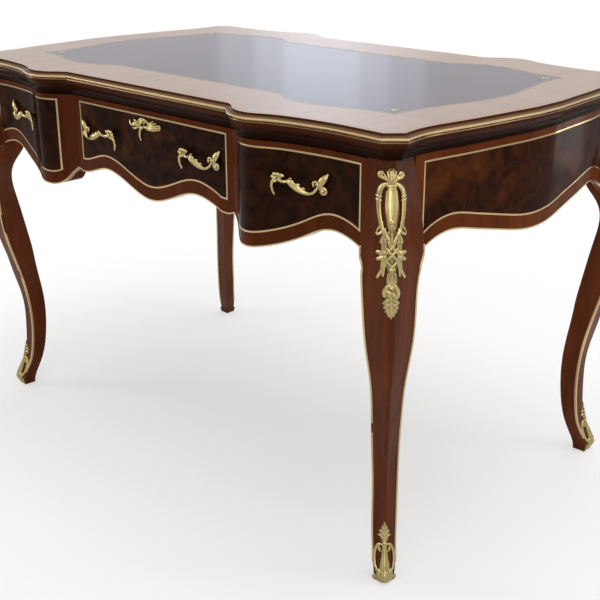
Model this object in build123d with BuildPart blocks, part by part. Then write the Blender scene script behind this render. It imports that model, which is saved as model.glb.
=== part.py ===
from build123d import *
import os

os.makedirs("parts", exist_ok=True)

# A serpentine writing table with three frieze drawers on four cabriole legs.
# Millimetres, +Z up, front at -Y, origin on the floor under the middle.

# ---------------------------------------------------------------- driving sizes
height = 780            # floor to writing surface
length = 1228           # over the bowed ends of the top, without the bead
depth = 714             # over the flat bays of the top, without the bead
clearance = 0.5         # around drawer fronts and other pieces that move
hair = 0.3              # running gap where a drawer rests

# plan of the top
step_x = 229            # half length of the flat middle bay
crest_x = 297           # where the side bays stand out most
crest = 34              # how far they stand out
corner_back = 25        # corner behind the middle of the end
corner_out = 2          # corner in front of the flat bays
cant = 23               # canted corner, along each side
waist = 5.5             # how far the end dips in beside the corner

# edge of the top
edge_height = 42
panel_thickness = 24
rim_lap = 12            # the moulding covers this much of the panel's edge
rim_width = 30          # moulding and build-up, inwards from the upper edge
bead_drop = 6.2
bead_height = 3.8
bead_out = 7.6
bead_proud = 2.4
line_gap = 2.4          # between the bead and the thin line under it
line_height = 1.8
line_out = 6.6
line_proud = 0.8
line_drop = bead_drop + bead_height + line_gap

# leather
leather_x = 489
leather_y = 241
leather_bow = 36
leather_crest = 33
leather_crest_x = 307
leather_thickness = 1.8
leather_recess = 2.0

# frieze
frieze_back = 9         # behind the upper edge of the top
frieze_thickness = 20
band_height = 25        # cross-banding under the framed panels
frame_drop = 12         # frame line below the top's underside
inlay_width = 3
inlay_depth = 1.4
inlay_proud = 0.6
strip_height = 2.6      # brass along the shaped lower edges
strip_depth = 7
strip_proud = 1.0

# corner posts and legs
joint_x = 531           # joint between side drawer and post
joint_y = 291           # joint between end panel and post
post_out_x = 17         # post corner behind the end corner of the top
post_out_y = 6          # post corner behind the flat bays

# carcass inside
rail_front = 321.5      # behind the drawer fronts
rail_width = 31.5
rail_drop = 18          # top rail below the underside of the moulded edge
runner_top = 628
runner_height = 16
divider_thickness = 18
runner_width = 42
end_runner_width = 26
end_runner_lap = 30     # end runners lie along the back posts

# drawers
front_inside = 322      # flat inner face of the drawer fronts
front_gap = 3           # above the drawer fronts
side_thickness = 11
back_thickness = 9
bottom_thickness = 7
box_depth = 430
box_headroom = 3
box_side_room = 1       # between a drawer box and its divider
side_lap = 6            # drawer sides let into the fronts
bottom_lift = 6
bottom_groove = 4
back_drop = 5

# lock
lock_width = 62
lock_height = 40
lock_thickness = 14
bolt_width = 24
bolt_height = 22
bolt_thickness = 5
bolt_throw = 7
bolt_room = 0.3
mortise_room = 0.8
key_radius = 2.2

# drawer handles
bar_radius = 3.4
tail_radius = 2.3
rosette_radius = 10
rosette_thickness = 3
rosette_sink = 5        # rosettes are hollowed to the curve of the front
boss_share = 0.6        # boss on a rosette, against its radius
boss_taper = 12         # degrees
post_radius = 2.5
post_depth = 14
hole_room = 0.25
handle_z = 670
centre_handle_x = 147
side_handle_x = (346, 431)   # the side handles lie along this chord

# derived
underside = height - edge_height
bow_x = length / 2
corner_x = bow_x - corner_back
bay_y = depth / 2
corner_y = bay_y + corner_out
crest_y = bay_y + crest
frieze_y = bay_y - frieze_back
post_x = corner_x - post_out_x
post_y = bay_y - post_out_y
frame_top = underside - frame_drop
front_top = underside - front_gap
samples = 8


# ---------------------------------------------------------------- plan outlines
# A quarter outline runs from the middle of the front to the middle of the
# right end. Moving it out by `grow` keeps its corners mitred.
def smooth(points, leave, arrive):
    return Edge.make_spline([Vector(*p) for p in points], [Vector(*leave), Vector(*arrive)])


def straight(start, end):
    return Edge.make_line(Vector(*start), Vector(*end))


top_quarter = [
    straight((0, -bay_y), (step_x, -bay_y)),
    smooth(
        [
            (step_x, -bay_y),
            (step_x + 33, -bay_y - 0.6 * crest),
            (crest_x, -crest_y),
            (crest_x + 50, -bay_y - 0.56 * crest),
            (crest_x + 130, -bay_y - 0.09 * crest),
            (corner_x - cant, -corner_y),
        ],
        (1, -0.25),
        (1, -0.04),
    ),
    straight((corner_x - cant, -corner_y), (corner_x, -corner_y + cant)),
    smooth(
        [
            (corner_x, -corner_y + cant),
            (corner_x - waist, -0.82 * bay_y),
            (bow_x - 0.68 * corner_back, -0.52 * bay_y),
            (bow_x - 0.24 * corner_back, -0.24 * bay_y),
            (bow_x, 0),
        ],
        (-0.25, 1),
        (0, 1),
    ),
]

leather_quarter = [
    straight((0, -leather_y), (step_x, -leather_y)),
    smooth(
        [
            (step_x, -leather_y),
            (step_x + 36, -leather_y - 0.65 * leather_crest),
            (leather_crest_x, -leather_y - leather_crest),
            (leather_crest_x + 75, -leather_y - 0.68 * leather_crest),
            (leather_x, -leather_y),
        ],
        (1, -0.3),
        (1, 0.1),
    ),
    smooth(
        [
            (leather_x, -leather_y),
            (leather_x + 0.27 * leather_bow, -0.62 * leather_y),
            (leather_x + leather_bow, 0),
        ],
        (0.05, 1),
        (0, 1),
    ),
]


def outward(edge, share):
    along = edge % share
    return Vector(along.Y, -along.X)


def grown(quarter, grow):
    normals = [(outward(edge, 0), outward(edge, 1)) for edge in quarter]
    stretches = []
    for i, edge in enumerate(quarter):
        before = normals[i - 1][1] if i > 0 else normals[i][0]
        after = normals[i + 1][0] if i < len(quarter) - 1 else normals[i][1]
        first = normals[i][0] + before
        last = normals[i][1] + after
        steps = 1 if edge.geom_type == GeomType.LINE else samples
        points = [edge @ (n / steps) + outward(edge, n / steps) * grow for n in range(steps + 1)]
        points[0] = edge @ 0 + first * (grow / (1 + normals[i][0].dot(before)))
        points[-1] = edge @ 1 + last * (grow / (1 + normals[i][1].dot(after)))
        stretches.append((points, edge % 0, edge % 1))
    return stretches


def plan(quarter, grow, z):
    with BuildSketch(Plane.XY.offset(z)) as face:
        with BuildLine():
            for flip_x, flip_y in ((1, 1), (1, -1), (-1, -1), (-1, 1)):
                for points, leave, arrive in grown(quarter, grow):
                    placed = [(flip_x * p.X, flip_y * p.Y) for p in points]
                    if len(placed) == 2:
                        Line(*placed)
                    else:
                        ends = [(flip_x * t.X, flip_y * t.Y) for t in (leave, arrive)]
                        Spline(*placed, tangents=ends)
        make_face()
    return face.sketch


def save(builder, name):
    builder.part.label = name
    export_step(builder.part, f"parts/{name}.step")


# ---------------------------------------------------------------- the top
with BuildPart() as top_panel:
    extrude(plan(top_quarter, -rim_lap, height - panel_thickness), amount=panel_thickness)
    extrude(
        plan(leather_quarter, 0, height - leather_recess),
        amount=leather_recess,
        mode=Mode.SUBTRACT,
    )
save(top_panel, "top_panel")

with BuildPart() as leather_inset:
    extrude(plan(leather_quarter, -0.2, height - leather_recess), amount=leather_thickness)
save(leather_inset, "leather_inset")

# Profile of the moulded edge, downwards: (drop below the surface, stand-out)
edge_profile = [
    (0, 0),
    (2.4, 0),
    (3.2, 4),
    (bead_drop, bead_out),
    (bead_drop + bead_height + line_gap / 2, bead_out),
    (line_drop, line_out),
    (line_drop + line_height, line_out),
    (19, 5.5),
    (25, 1.5),
    (30, -3),
    (35, -5.6),
    (edge_height, -6.5),
]

with BuildPart() as rim:
    loft([plan(top_quarter, out, height - drop) for drop, out in edge_profile], ruled=True)
    extrude(
        plan(top_quarter, -rim_lap, height - panel_thickness),
        amount=panel_thickness,
        mode=Mode.SUBTRACT,
    )
    extrude(plan(top_quarter, -rim_width, underside), amount=edge_height, mode=Mode.SUBTRACT)

# The moulding is run in four lengths, mitred through the canted corners.
mitre_x = corner_x - cant / 2
mitre_y = corner_y - cant / 2
mitre_reach = 60


def edge_length(outer, inner):
    with BuildSketch(Plane.XY.offset(underside)) as wedge:
        with BuildLine():
            Polyline(*outer, *inner, close=True)
        make_face()
    with BuildPart() as piece:
        add(rim.part)
        extrude(wedge.sketch, amount=edge_height, mode=Mode.INTERSECT)
    return piece


far_x = mitre_x + mitre_reach
far_y = mitre_y + mitre_reach
near_x = mitre_x - mitre_reach
near_y = mitre_y - mitre_reach
front_edge = edge_length(((-far_x, -far_y), (far_x, -far_y)), ((near_x, -near_y), (-near_x, -near_y)))
right_edge = edge_length(((far_x, -far_y), (far_x, far_y)), ((near_x, near_y), (near_x, -near_y)))
save(front_edge, "edge_moulding_front")
save(right_edge, "edge_moulding_right")

with BuildPart() as back_edge:
    mirror(front_edge.part, about=Plane.XZ)
save(back_edge, "edge_moulding_back")

with BuildPart() as left_edge:
    mirror(right_edge.part, about=Plane.YZ)
save(left_edge, "edge_moulding_left")


# Two brass lines run right round the moulded edge.
def edge_brass(drop, tall, seat, proud, lean):
    section = ((drop, proud - lean), (drop + tall / 2, proud), (drop + tall, proud - lean))
    with BuildPart() as ring:
        loft([plan(top_quarter, seat + out, height - down) for down, out in section], ruled=True)
        extrude(plan(top_quarter, seat, height - drop - tall), amount=tall, mode=Mode.SUBTRACT)
    return ring.part


with BuildPart() as edge_brasswork:
    add(edge_brass(bead_drop, bead_height, bead_out, bead_proud, 1.4))
    add(edge_brass(line_drop, line_height, line_out, line_proud, 0.2))
save(edge_brasswork, "edge_brasswork")


# ---------------------------------------------------------------- shaped lower edges
# Lower edges as (distance from the middle, height), outwards from the middle.
centre_edge = [(0, 567), (75, 588), (143, 602), (192, 588), (216, 585)]
side_edge = [(247, 576), (262, 559), (287, 553), (352, 565), (405, 588), (462, 608), (joint_x, 585)]
end_edge = [(0, 570), (50, 574.5), (110, 587), (160, 598), (208, 606), (250, 596), (joint_y, 567)]
cusp_z = 590            # where centre and side drawers meet
bay_joint = step_x + 2.5
frame_centre_x = 214
frame_side_inner = 262
frame_side_outer = 517
frame_end_y = 272


def raised(points, lift):
    return [(x, z + lift) for x, z in points]


def mirrored(points):
    return [(-x, z) for x, z in reversed(points)]


def centre_shape(lift, upper):
    edge = raised(centre_edge, lift)
    Spline(*mirrored(edge), *edge[1:], tangents=((1, 0), (1, 0)))
    for flip in (1, -1):
        tip = (flip * bay_joint, cusp_z + lift)
        Line((flip * edge[-1][0], edge[-1][1]), tip)
        Line(tip, (flip * bay_joint, upper))
    Line((-bay_joint, upper), (bay_joint, upper))


def side_shape(lift, upper):
    edge = raised(side_edge, lift)
    tip = (bay_joint, cusp_z + lift)
    Spline(*edge, tangents=((0.4, -1), (1, -0.9)), tangent_scalars=(0.5, 0.5))
    Polyline(edge[0], tip, (bay_joint, upper), (joint_x, upper), edge[-1])


def end_shape(lift, upper):
    edge = raised(end_edge, lift)
    Spline(*mirrored(edge), *edge[1:])
    Polyline(edge[-1], (joint_y, upper), (-joint_y, upper), (-joint_y, edge[-1][1]))


# The shapes are drawn flat and then stood up on the front, an end or the back.
def closed(draw, lift, upper):
    with BuildSketch() as face:
        with BuildLine():
            draw(lift, upper)
        make_face()
    return face.sketch


def between(shape, low, high):
    with BuildSketch() as part:
        add(shape)
        with Locations(((low + high) / 2, height / 2)):
            Rectangle(high - low, height, mode=Mode.INTERSECT)
    return part.sketch


# Brass line frame: the raised shape, cut square, less the same drawn smaller.
def frame_line(draw, low, high):
    lift = band_height + inlay_width
    inside = closed(draw, lift, frame_top - inlay_width)
    with BuildSketch() as line:
        add(between(closed(draw, band_height, frame_top), low, high))
        add(between(inside, low + inlay_width, high - inlay_width), mode=Mode.SUBTRACT)
    return line.sketch


# Brass strip: what the shape loses when it is lifted by the strip's height.
def edge_strip(draw, low, high):
    with BuildSketch() as strip:
        add(between(closed(draw, 0, underside), low, high))
        add(closed(draw, strip_height, underside + strip_height), mode=Mode.SUBTRACT)
    return strip.sketch


# Plan shapes of the frieze: between two grown outlines, or back to a flat face.
frieze_low = 540
frieze_tall = underside - frieze_low


def side_curve(grow):
    points, leave, arrive = grown(top_quarter, grow)[1]
    return [(p.X, p.Y) for p in points], ((leave.X, leave.Y), (arrive.X, arrive.Y))


def end_curve(grow):
    points, leave, arrive = grown(top_quarter, grow)[3]
    half = [(p.X, p.Y) for p in points]
    whole = half + [(x, -y) for x, y in reversed(half[:-1])]
    return whole, ((leave.X, leave.Y), (-leave.X, leave.Y))


def band(curve, outer, inner):
    out_points, out_ends = curve(outer)
    in_points, in_ends = curve(inner)
    with BuildSketch(Plane.XY.offset(frieze_low)) as face:
        with BuildLine():
            Spline(*out_points, tangents=out_ends)
            Spline(*in_points, tangents=in_ends)
            Line(out_points[0], in_points[0])
            Line(out_points[-1], in_points[-1])
        make_face()
    return face.sketch


def side_block():
    points, ends = side_curve(-frieze_back)
    with BuildSketch(Plane.XY.offset(frieze_low)) as face:
        with BuildLine():
            Spline(*points, tangents=ends)
            inner = [(points[i][0], -front_inside) for i in (-1, 0)]
            Polyline(points[-1], *inner, points[0])
        make_face()
    return face.sketch


def flat_band(outer, inner):
    with BuildSketch(Plane.XY.offset(frieze_low)) as face:
        with Locations((0, -(outer + inner) / 2 - frieze_y)):
            Rectangle(2 * bay_joint, outer - inner)
    return face.sketch


front_plane = Plane.XZ.offset(front_inside - frieze_thickness)
front_depth = crest_y - front_inside + 2 * frieze_thickness
centre_half = bay_joint - clearance
side_inner = bay_joint + clearance
side_outer = joint_x - clearance


def shaped(blank, plane, profile, reach):
    with BuildPart() as piece:
        extrude(blank, amount=frieze_tall)
        extrude(plane * profile, amount=reach, mode=Mode.INTERSECT)
    return piece.part


# Each front is sawn to the serpentine outside and flat inside. Its shaped
# lower edge is the apron, edged with a brass strip.
def drawer_front(blank, skin, strip_skin, draw, limits, frame_limits):
    inlay = shaped(skin, front_plane, frame_line(draw, *frame_limits), front_depth)
    strip = shaped(strip_skin, front_plane, edge_strip(draw, *limits), front_depth)
    profile = between(closed(draw, 0, front_top), *limits)
    with BuildPart() as wood:
        add(shaped(blank, front_plane, profile, front_depth))
        add(inlay, mode=Mode.SUBTRACT)
        add(strip, mode=Mode.SUBTRACT)
    return wood.part, (inlay, strip)


centre_front, centre_brass = drawer_front(
    flat_band(0, front_inside - frieze_y),
    flat_band(inlay_proud, -inlay_depth),
    flat_band(strip_proud, -strip_depth),
    centre_shape,
    (-centre_half, centre_half),
    (-frame_centre_x, frame_centre_x),
)
side_front, side_brass = drawer_front(
    side_block(),
    band(side_curve, inlay_proud - frieze_back, -frieze_back - inlay_depth),
    band(side_curve, strip_proud - frieze_back, -frieze_back - strip_depth),
    side_shape,
    (side_inner, side_outer),
    (frame_side_inner, frame_side_outer),
)

# ---------------------------------------------------------------- ends and back
end_plane = Plane.YZ
end_reach = bow_x
end_inlay = shaped(
    band(end_curve, inlay_proud - frieze_back, -frieze_back - inlay_depth),
    end_plane,
    frame_line(end_shape, -frame_end_y, frame_end_y),
    end_reach,
)
end_edging = shaped(
    band(end_curve, strip_proud - frieze_back, -frieze_back - strip_depth),
    end_plane,
    edge_strip(end_shape, -joint_y, joint_y),
    end_reach,
)

with BuildPart() as right_end_panel:
    add(
        shaped(
            band(end_curve, -frieze_back, -frieze_back - frieze_thickness),
            end_plane,
            closed(end_shape, 0, underside),
            end_reach,
        )
    )
    add(end_inlay, mode=Mode.SUBTRACT)
    add(end_edging, mode=Mode.SUBTRACT)
save(right_end_panel, "end_panel_right")

with BuildPart() as left_end_panel:
    mirror(right_end_panel.part, about=Plane.YZ)
save(left_end_panel, "end_panel_left")

# The back repeats the front's shape in one fixed piece.
with BuildSketch() as back_profile:
    add(closed(centre_shape, 0, underside))
    add(closed(side_shape, 0, underside))
    mirror(closed(side_shape, 0, underside), about=Plane.YZ)

with BuildPart() as front_frieze:
    extrude(flat_band(0, -frieze_thickness), amount=frieze_tall)
    extrude(band(side_curve, -frieze_back, -frieze_back - frieze_thickness), amount=frieze_tall)
    mirror(about=Plane.YZ)
    extrude(front_plane * back_profile.sketch, amount=front_depth, mode=Mode.INTERSECT)

centre_groove, centre_edging = centre_brass
side_groove, side_edging = side_brass
with BuildPart() as back_frieze:
    mirror(front_frieze.part, about=Plane.XZ)
    for brass in (centre_groove, side_groove, side_edging):
        mirror(brass, about=Plane.XZ, mode=Mode.SUBTRACT)
    for brass in (side_groove, side_edging):
        add(brass.rotate(Axis.Z, 180), mode=Mode.SUBTRACT)
    mirror(centre_edging, about=Plane.XZ, mode=Mode.SUBTRACT)
save(back_frieze, "back_frieze")

with BuildPart() as carcass_brasswork:
    for brass in (centre_groove, centre_edging, side_groove, side_edging):
        mirror(brass, about=Plane.XZ)
    for brass in (side_groove, side_edging):
        add(brass.rotate(Axis.Z, 180))
    for brass in (end_inlay, end_edging):
        add(brass)
        mirror(brass, about=Plane.YZ)
save(carcass_brasswork, "carcass_brasswork")

# ---------------------------------------------------------------- legs
# Stations of a cabriole leg, up from the floor: share of its height, how far
# its outer corner stands out from the post's corner along X and Y, width of
# its two outer faces, how far its inner corner stands out from the joints,
# and the softened outer corner.
leg_stations = [
    (0.0, 1, -18.5, 21, 21, 19, 19, 7),
    (0.024, 5.5, -14, 25.5, 25.5, 17, 17, 6),
    (0.078, -5.5, -25, 28, 28, 5, 5, 3),
    (0.136, -12.5, -32, 29, 29, -4, -4, 3),
    (0.238, -15.5, -35, 29.5, 29.5, -9.5, -10, 3),
    (0.34, -10, -27, 32, 32, -6.5, -6.5, 3.5),
    (0.427, 1, -14.5, 34.5, 34.5, 0, 0, 4),
    (0.509, 13, -1, 39.5, 39.5, 7, 6.5, 5),
    (0.608, 23, 10, 53.5, 53.5, 17, 17, 7),
    (0.686, 25.7, 14.4, 58.5, 58.5, 24, 23.5, 8),
    (0.73, 26, 15.6, 60.5, 60.5, 18, 17.5, 8.5),
    (0.77, 25.6, 15.6, 60.5, 67, 3, 3, 9),
]
post_stations = [
    (0.795, 25, 15.3, 9),
    (0.846, 21.5, 13, 10),
    (0.94, 8, 3.2, 14),
    (1.0, -1, -0.7, 16),
]


def leg_section(z, corner, widths, inner, soft, grow):
    x = corner[0] + grow
    y = corner[1] + grow
    with BuildSketch(Plane.XY.offset(z)) as face:
        with BuildLine():
            Polyline(
                (x - widths[0] - 2 * grow, -y),
                (x - soft, -y),
                (x, soft - y),
                (x, widths[1] + 2 * grow - y),
                (inner[0] - grow, grow - inner[1]),
                close=True,
            )
        make_face()
    return face.sketch


def leg_sections(grow):
    faces = []
    for share, out_x, out_y, wide_x, wide_y, in_x, in_y, soft in leg_stations:
        corner = (post_x + out_x, post_y + out_y)
        inner = (joint_x + in_x, joint_y + in_y)
        faces.append(leg_section(share * underside, corner, (wide_x, wide_y), inner, soft, grow))
    return faces


def post_sections(grow):
    faces = []
    for share, out_x, out_y, soft in post_stations:
        corner = (post_x + out_x, post_y + out_y)
        widths = (corner[0] - joint_x, corner[1] - joint_y)
        faces.append(leg_section(share * underside, corner, widths, (joint_x, joint_y), soft, grow))
    return faces


with BuildPart() as leg:
    loft(leg_sections(0) + post_sections(0)[:1])
    loft(post_sections(0))

# Brass fillets lapped over both outer arrises, from the sabot to the apron.
fillet_lap = 3
fillet_proud = 1
fillet_foot = 32        # the sabot starts below this


def arris_sections(front):
    shift = (fillet_lap - fillet_proud) / 2
    faces = []
    for share, out_x, out_y, wide_x, wide_y, *rest in leg_stations:
        x = post_x + out_x
        y = post_y + out_y
        if front:
            middle = (x - wide_x + shift, shift - y)
        else:
            middle = (x - shift, wide_y - y - shift)
        with BuildSketch(Plane.XY.offset(share * underside)) as face:
            with Locations(middle):
                Rectangle(fillet_lap + fillet_proud, fillet_lap + fillet_proud)
        faces.append(face.sketch)
    return faces


with BuildPart() as leg_fillets:
    loft(arris_sections(True))
    loft(arris_sections(False))
    with Locations((post_x, -post_y, fillet_foot / 2)):
        Box(post_x, post_x, fillet_foot, mode=Mode.SUBTRACT)
    add(leg.part, mode=Mode.SUBTRACT)

# ---------------------------------------------------------------- leg mounts
# Outlines of the gilt mounts, drawn square to the leg's outer corner as
# (distance from the middle, height).
knee_middle = 4         # how far the middles stand aside from the post corner
sabot_middle = 9.8
knee_outline = [
    (0, 730), (9, 728), (17, 722.5), (16, 713), (11, 709.5), (19, 702), (21, 687), (19, 665),
    (17, 651), (21, 634.5), (13, 624), (21, 614), (21, 601), (12, 589), (18, 570), (8, 566),
    (7, 558), (12, 544.5), (10, 532.5), (11, 522.5), (0, 503.5),
]
knee_openings = (
    [(8, 645), (13, 672), (13, 696), (9, 705), (7.5, 688), (7.5, 660)],
    [(3, 606), (7, 598), (3, 587)],
)
knee_thickness = 3.2
knee_depth = 26
sabot_outline = [
    (30, 0), (30, 20), (16.5, 26), (16.5, 42), (15, 54), (11, 62), (6, 68), (4.5, 72), (7, 75),
    (10, 82), (8, 88), (5.5, 97), (0, 110),
]
sabot_openings = ([(8, 30), (12.5, 35), (13.5, 45), (11, 55), (8, 57), (7, 45)],)
sabot_thickness = 2.6
sabot_depth = 40


def mount_plane(aside, behind):
    back = behind / 2 ** 0.5
    middle = (post_x + aside - back, aside - post_y + back, 0)
    return Plane(origin=middle, x_dir=(1, 1, 0), z_dir=(1, -1, 0))


def both_halves(outline):
    return outline + [(-x, z) for x, z in reversed(outline) if x > 0]


def mount_shape(outline, openings):
    with BuildSketch() as shape:
        with BuildLine():
            Polyline(*both_halves(outline), close=True)
        make_face()
        for opening in openings:
            for flip in (1, -1):
                with BuildLine():
                    Polyline(*[(flip * x, z) for x, z in opening], close=True)
                make_face(mode=Mode.SUBTRACT)
    return shape.sketch


with BuildPart() as knee_mount:
    loft(leg_sections(knee_thickness) + post_sections(knee_thickness)[:1])
    loft(post_sections(knee_thickness))
    extrude(
        mount_plane(knee_middle, knee_depth) * mount_shape(knee_outline, knee_openings),
        amount=3 * knee_depth,
        mode=Mode.INTERSECT,
    )
    add(leg.part, mode=Mode.SUBTRACT)

with BuildPart() as sabot:
    loft(leg_sections(sabot_thickness) + post_sections(sabot_thickness)[:1])
    extrude(
        mount_plane(sabot_middle, sabot_depth) * mount_shape(sabot_outline, sabot_openings),
        amount=3 * sabot_depth,
        mode=Mode.INTERSECT,
    )
    add(leg.part, mode=Mode.SUBTRACT)

for piece, name in (
    (leg, "leg"),
    (leg_fillets, "leg_fillets"),
    (knee_mount, "knee_mount"),
    (sabot, "sabot"),
):
    with BuildPart() as back_right:
        mirror(piece.part, about=Plane.XZ)
    with BuildPart() as front_left:
        mirror(piece.part, about=Plane.YZ)
    with BuildPart() as back_left:
        mirror(back_right.part, about=Plane.YZ)
    save(piece, name + "_front_right")
    save(back_right, name + "_back_right")
    save(front_left, name + "_front_left")
    save(back_left, name + "_back_left")

# ---------------------------------------------------------------- carcass
panel_under = height - panel_thickness
rail_low = underside - rail_drop
rail_back = rail_front - rail_width
bay_back = frieze_y - frieze_thickness
runner_low = runner_top - runner_height
divider_x = bay_joint
box_top = rail_low - box_headroom
box_floor = runner_top + hair
lock_top = box_top
lock_face = front_inside


def block(x, y, z, mode=Mode.ADD):
    with Locations(((x[0] + x[1]) / 2, (y[0] + y[1]) / 2, (z[0] + z[1]) / 2)):
        Box(x[1] - x[0], y[1] - y[0], z[1] - z[0], mode=mode)


bolt_x = bolt_width / 2
bolt_middle = lock_thickness / 2 - lock_face
bolt_y = (bolt_middle - bolt_thickness / 2, bolt_middle + bolt_thickness / 2)
bolt_z = (lock_top - bolt_height, lock_top)

with BuildPart() as top_rail:
    block((-joint_x, joint_x), (-rail_front, -rail_back), (rail_low, panel_under))
    block(
        (-bolt_x - mortise_room, bolt_x + mortise_room),
        (bolt_y[0] - mortise_room, bolt_y[1] + mortise_room),
        (rail_low, lock_top + bolt_throw + mortise_room),
        mode=Mode.SUBTRACT,
    )
save(top_rail, "top_rail")

with BuildPart() as bottom_rail:
    block((-joint_x, joint_x), (-rail_front, -rail_back), (runner_low, runner_top))
save(bottom_rail, "bottom_rail")


def divider(x):
    with BuildPart() as board:
        wide = (x - divider_thickness / 2, x + divider_thickness / 2)
        block(wide, (-rail_front, bay_back), (runner_top, rail_low))
        block(wide, (-rail_back, bay_back), (rail_low, underside))
        block(wide, (-rail_back, bay_y - rim_width), (underside, panel_under))
    return board


def runner(low, high, end):
    with BuildPart() as strip:
        block((low, high), (-rail_back, end), (runner_low, runner_top))
    return strip


for flip, side in ((1, "right"), (-1, "left")):
    save(divider(flip * divider_x), f"divider_{side}")
    middle = flip * divider_x
    save(
        runner(middle - runner_width / 2, middle + runner_width / 2, bay_back),
        f"drawer_runner_{side}",
    )
    ends = sorted((flip * joint_x, flip * (joint_x - end_runner_width)))
    save(runner(*ends, joint_y + end_runner_lap), f"end_runner_{side}")


# ---------------------------------------------------------------- drawer boxes
def drawer_box(low, high):
    back_y = box_depth - front_inside
    inner_low = low + side_thickness
    inner_high = high - side_thickness
    bottom_z = (box_floor + bottom_lift, box_floor + bottom_lift + bottom_thickness)
    bottom_x = (inner_low - bottom_groove, inner_high + bottom_groove)
    with BuildPart() as bottom:
        block(bottom_x, (-front_inside, back_y), bottom_z)
    with BuildPart() as back:
        block((inner_low, inner_high), (back_y - back_thickness, back_y), (bottom_z[1], box_top - back_drop))
    sides = []
    for x in ((low, inner_low), (inner_high, high)):
        with BuildPart() as board:
            block(x, (-front_inside - side_lap, back_y), (box_floor, box_top))
            add(bottom.part, mode=Mode.SUBTRACT)
        sides.append(board)
    return sides, back, bottom


divider_face = divider_x + divider_thickness / 2
centre_box = drawer_box(
    -divider_x + divider_thickness / 2 + box_side_room,
    divider_x - divider_thickness / 2 - box_side_room,
)
side_box = drawer_box(divider_face + box_side_room, joint_x - box_side_room)

# ---------------------------------------------------------------- handles
# In the handle's own plane: along the front, up, and out from the front.
rosettes = ((-38, 8), (37, -5))
bar_path = [
    (-38, 8, 12), (-34, 7, 19), (-22, 1, 22), (0, -10, 23), (18, -14, 22), (32, -10, 17), (37, -5, 11),
]
tail_path = [(-38, 8, 12), (-47, 4, 12), (-53, -7, 10), (-52, -17, 8), (-47, -23, 6)]
leaf_outline = [(33, -3), (43, -5), (51, 5), (57, 20), (47, 15), (38, 7)]
curl_outline = [(33, -6), (43, -8), (49, -15), (44, -22), (36, -18), (31, -11)]
leaf_low = 8
leaf_thickness = 3
bar_steps = 12
tail_steps = 8


# A cast rod: six-sided sections set square to the path. `beside` is a
# direction that the path never follows, so the sections don't twist.
def rod(place, points, radius, beside, steps):
    with BuildLine(place, mode=Mode.PRIVATE) as path:
        Spline(*points)
    with BuildPart() as bent:
        for n in range(steps + 1):
            heading = path.line % (n / steps)
            with BuildSketch(Plane(path.line @ (n / steps), x_dir=beside.cross(heading), z_dir=heading)):
                RegularPolygon(radius, 6)
        loft(ruled=True)
    return bent.part


def posts(place, radius):
    with BuildPart() as pair:
        with BuildSketch(place.offset(-post_depth)):
            with Locations(*rosettes):
                Circle(radius)
        extrude(amount=post_depth + leaf_low)
    return pair.part


def handle(place, wood):
    with BuildPart() as piece:
        with BuildSketch(place.offset(-rosette_sink)):
            with Locations(*rosettes):
                RegularPolygon(rosette_radius, 12)
        extrude(amount=rosette_sink + rosette_thickness)
        with BuildSketch(place.offset(rosette_thickness)):
            with Locations(*rosettes):
                RegularPolygon(boss_share * rosette_radius, 10)
        extrude(amount=leaf_low, taper=boss_taper)
        with BuildSketch(place.offset(leaf_low)):
            for outline in (leaf_outline, curl_outline):
                with BuildLine():
                    Polyline(*outline, close=True)
                make_face()
        extrude(amount=leaf_thickness)
        add(rod(place, bar_path, bar_radius, place.y_dir, bar_steps))
        add(rod(place, tail_path, tail_radius, place.z_dir, tail_steps))
        add(wood, mode=Mode.SUBTRACT)
        add(posts(place, post_radius))
    return piece


def face_y(x):
    with BuildLine(mode=Mode.PRIVATE) as line:
        points, ends = side_curve(-frieze_back)
        Spline(*points, tangents=ends)
    low, high = 0, 1
    for _ in range(30):
        share = (low + high) / 2
        if (line.line @ share).X < x:
            low = share
        else:
            high = share
    return (line.line @ low).Y


centre_place = Plane(origin=(centre_handle_x, -frieze_y, handle_z), x_dir=(1, 0, 0), z_dir=(0, -1, 0))
chord_start = Vector(side_handle_x[0], face_y(side_handle_x[0]))
chord_end = Vector(side_handle_x[1], face_y(side_handle_x[1]))
chord = chord_end - chord_start
chord_middle = (chord_start + chord_end) / 2
side_place = Plane(
    origin=(chord_middle.X, chord_middle.Y, handle_z),
    x_dir=(chord.X, chord.Y, 0),
    z_dir=(chord.Y, -chord.X, 0),
)

# ---------------------------------------------------------------- lock
escutcheon_outline = [
    (-52, 709), (-45, 699), (-33, 702), (-23, 698), (-24, 683), (-20, 676), (-15, 684), (-12, 696),
    (0, 691), (10, 699), (24, 696), (38, 700), (44, 708), (34, 714), (18, 713), (6, 717),
    (-8, 719), (-20, 716), (-27, 708), (-38, 712),
]
escutcheon_thickness = 2.5
key_z = 705
key_drop = 8


def key_way(plane, depth):
    with BuildPart() as way:
        with BuildSketch(plane):
            with Locations((0, key_z)):
                Circle(key_radius)
            with Locations((0, key_z - key_drop / 2)):
                Rectangle(key_radius, key_drop)
        extrude(amount=-depth)
    return way.part


key_face = Plane.XZ.offset(frieze_y + escutcheon_thickness)
key_slot = key_way(key_face, frieze_y + escutcheon_thickness - lock_face + lock_thickness / 3)

with BuildPart() as escutcheon:
    with BuildSketch(Plane.XZ.offset(frieze_y)):
        with BuildLine():
            Polyline(*escutcheon_outline, close=True)
        make_face()
    extrude(amount=escutcheon_thickness)
    add(key_slot, mode=Mode.SUBTRACT)
save(escutcheon, "escutcheon")

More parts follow.
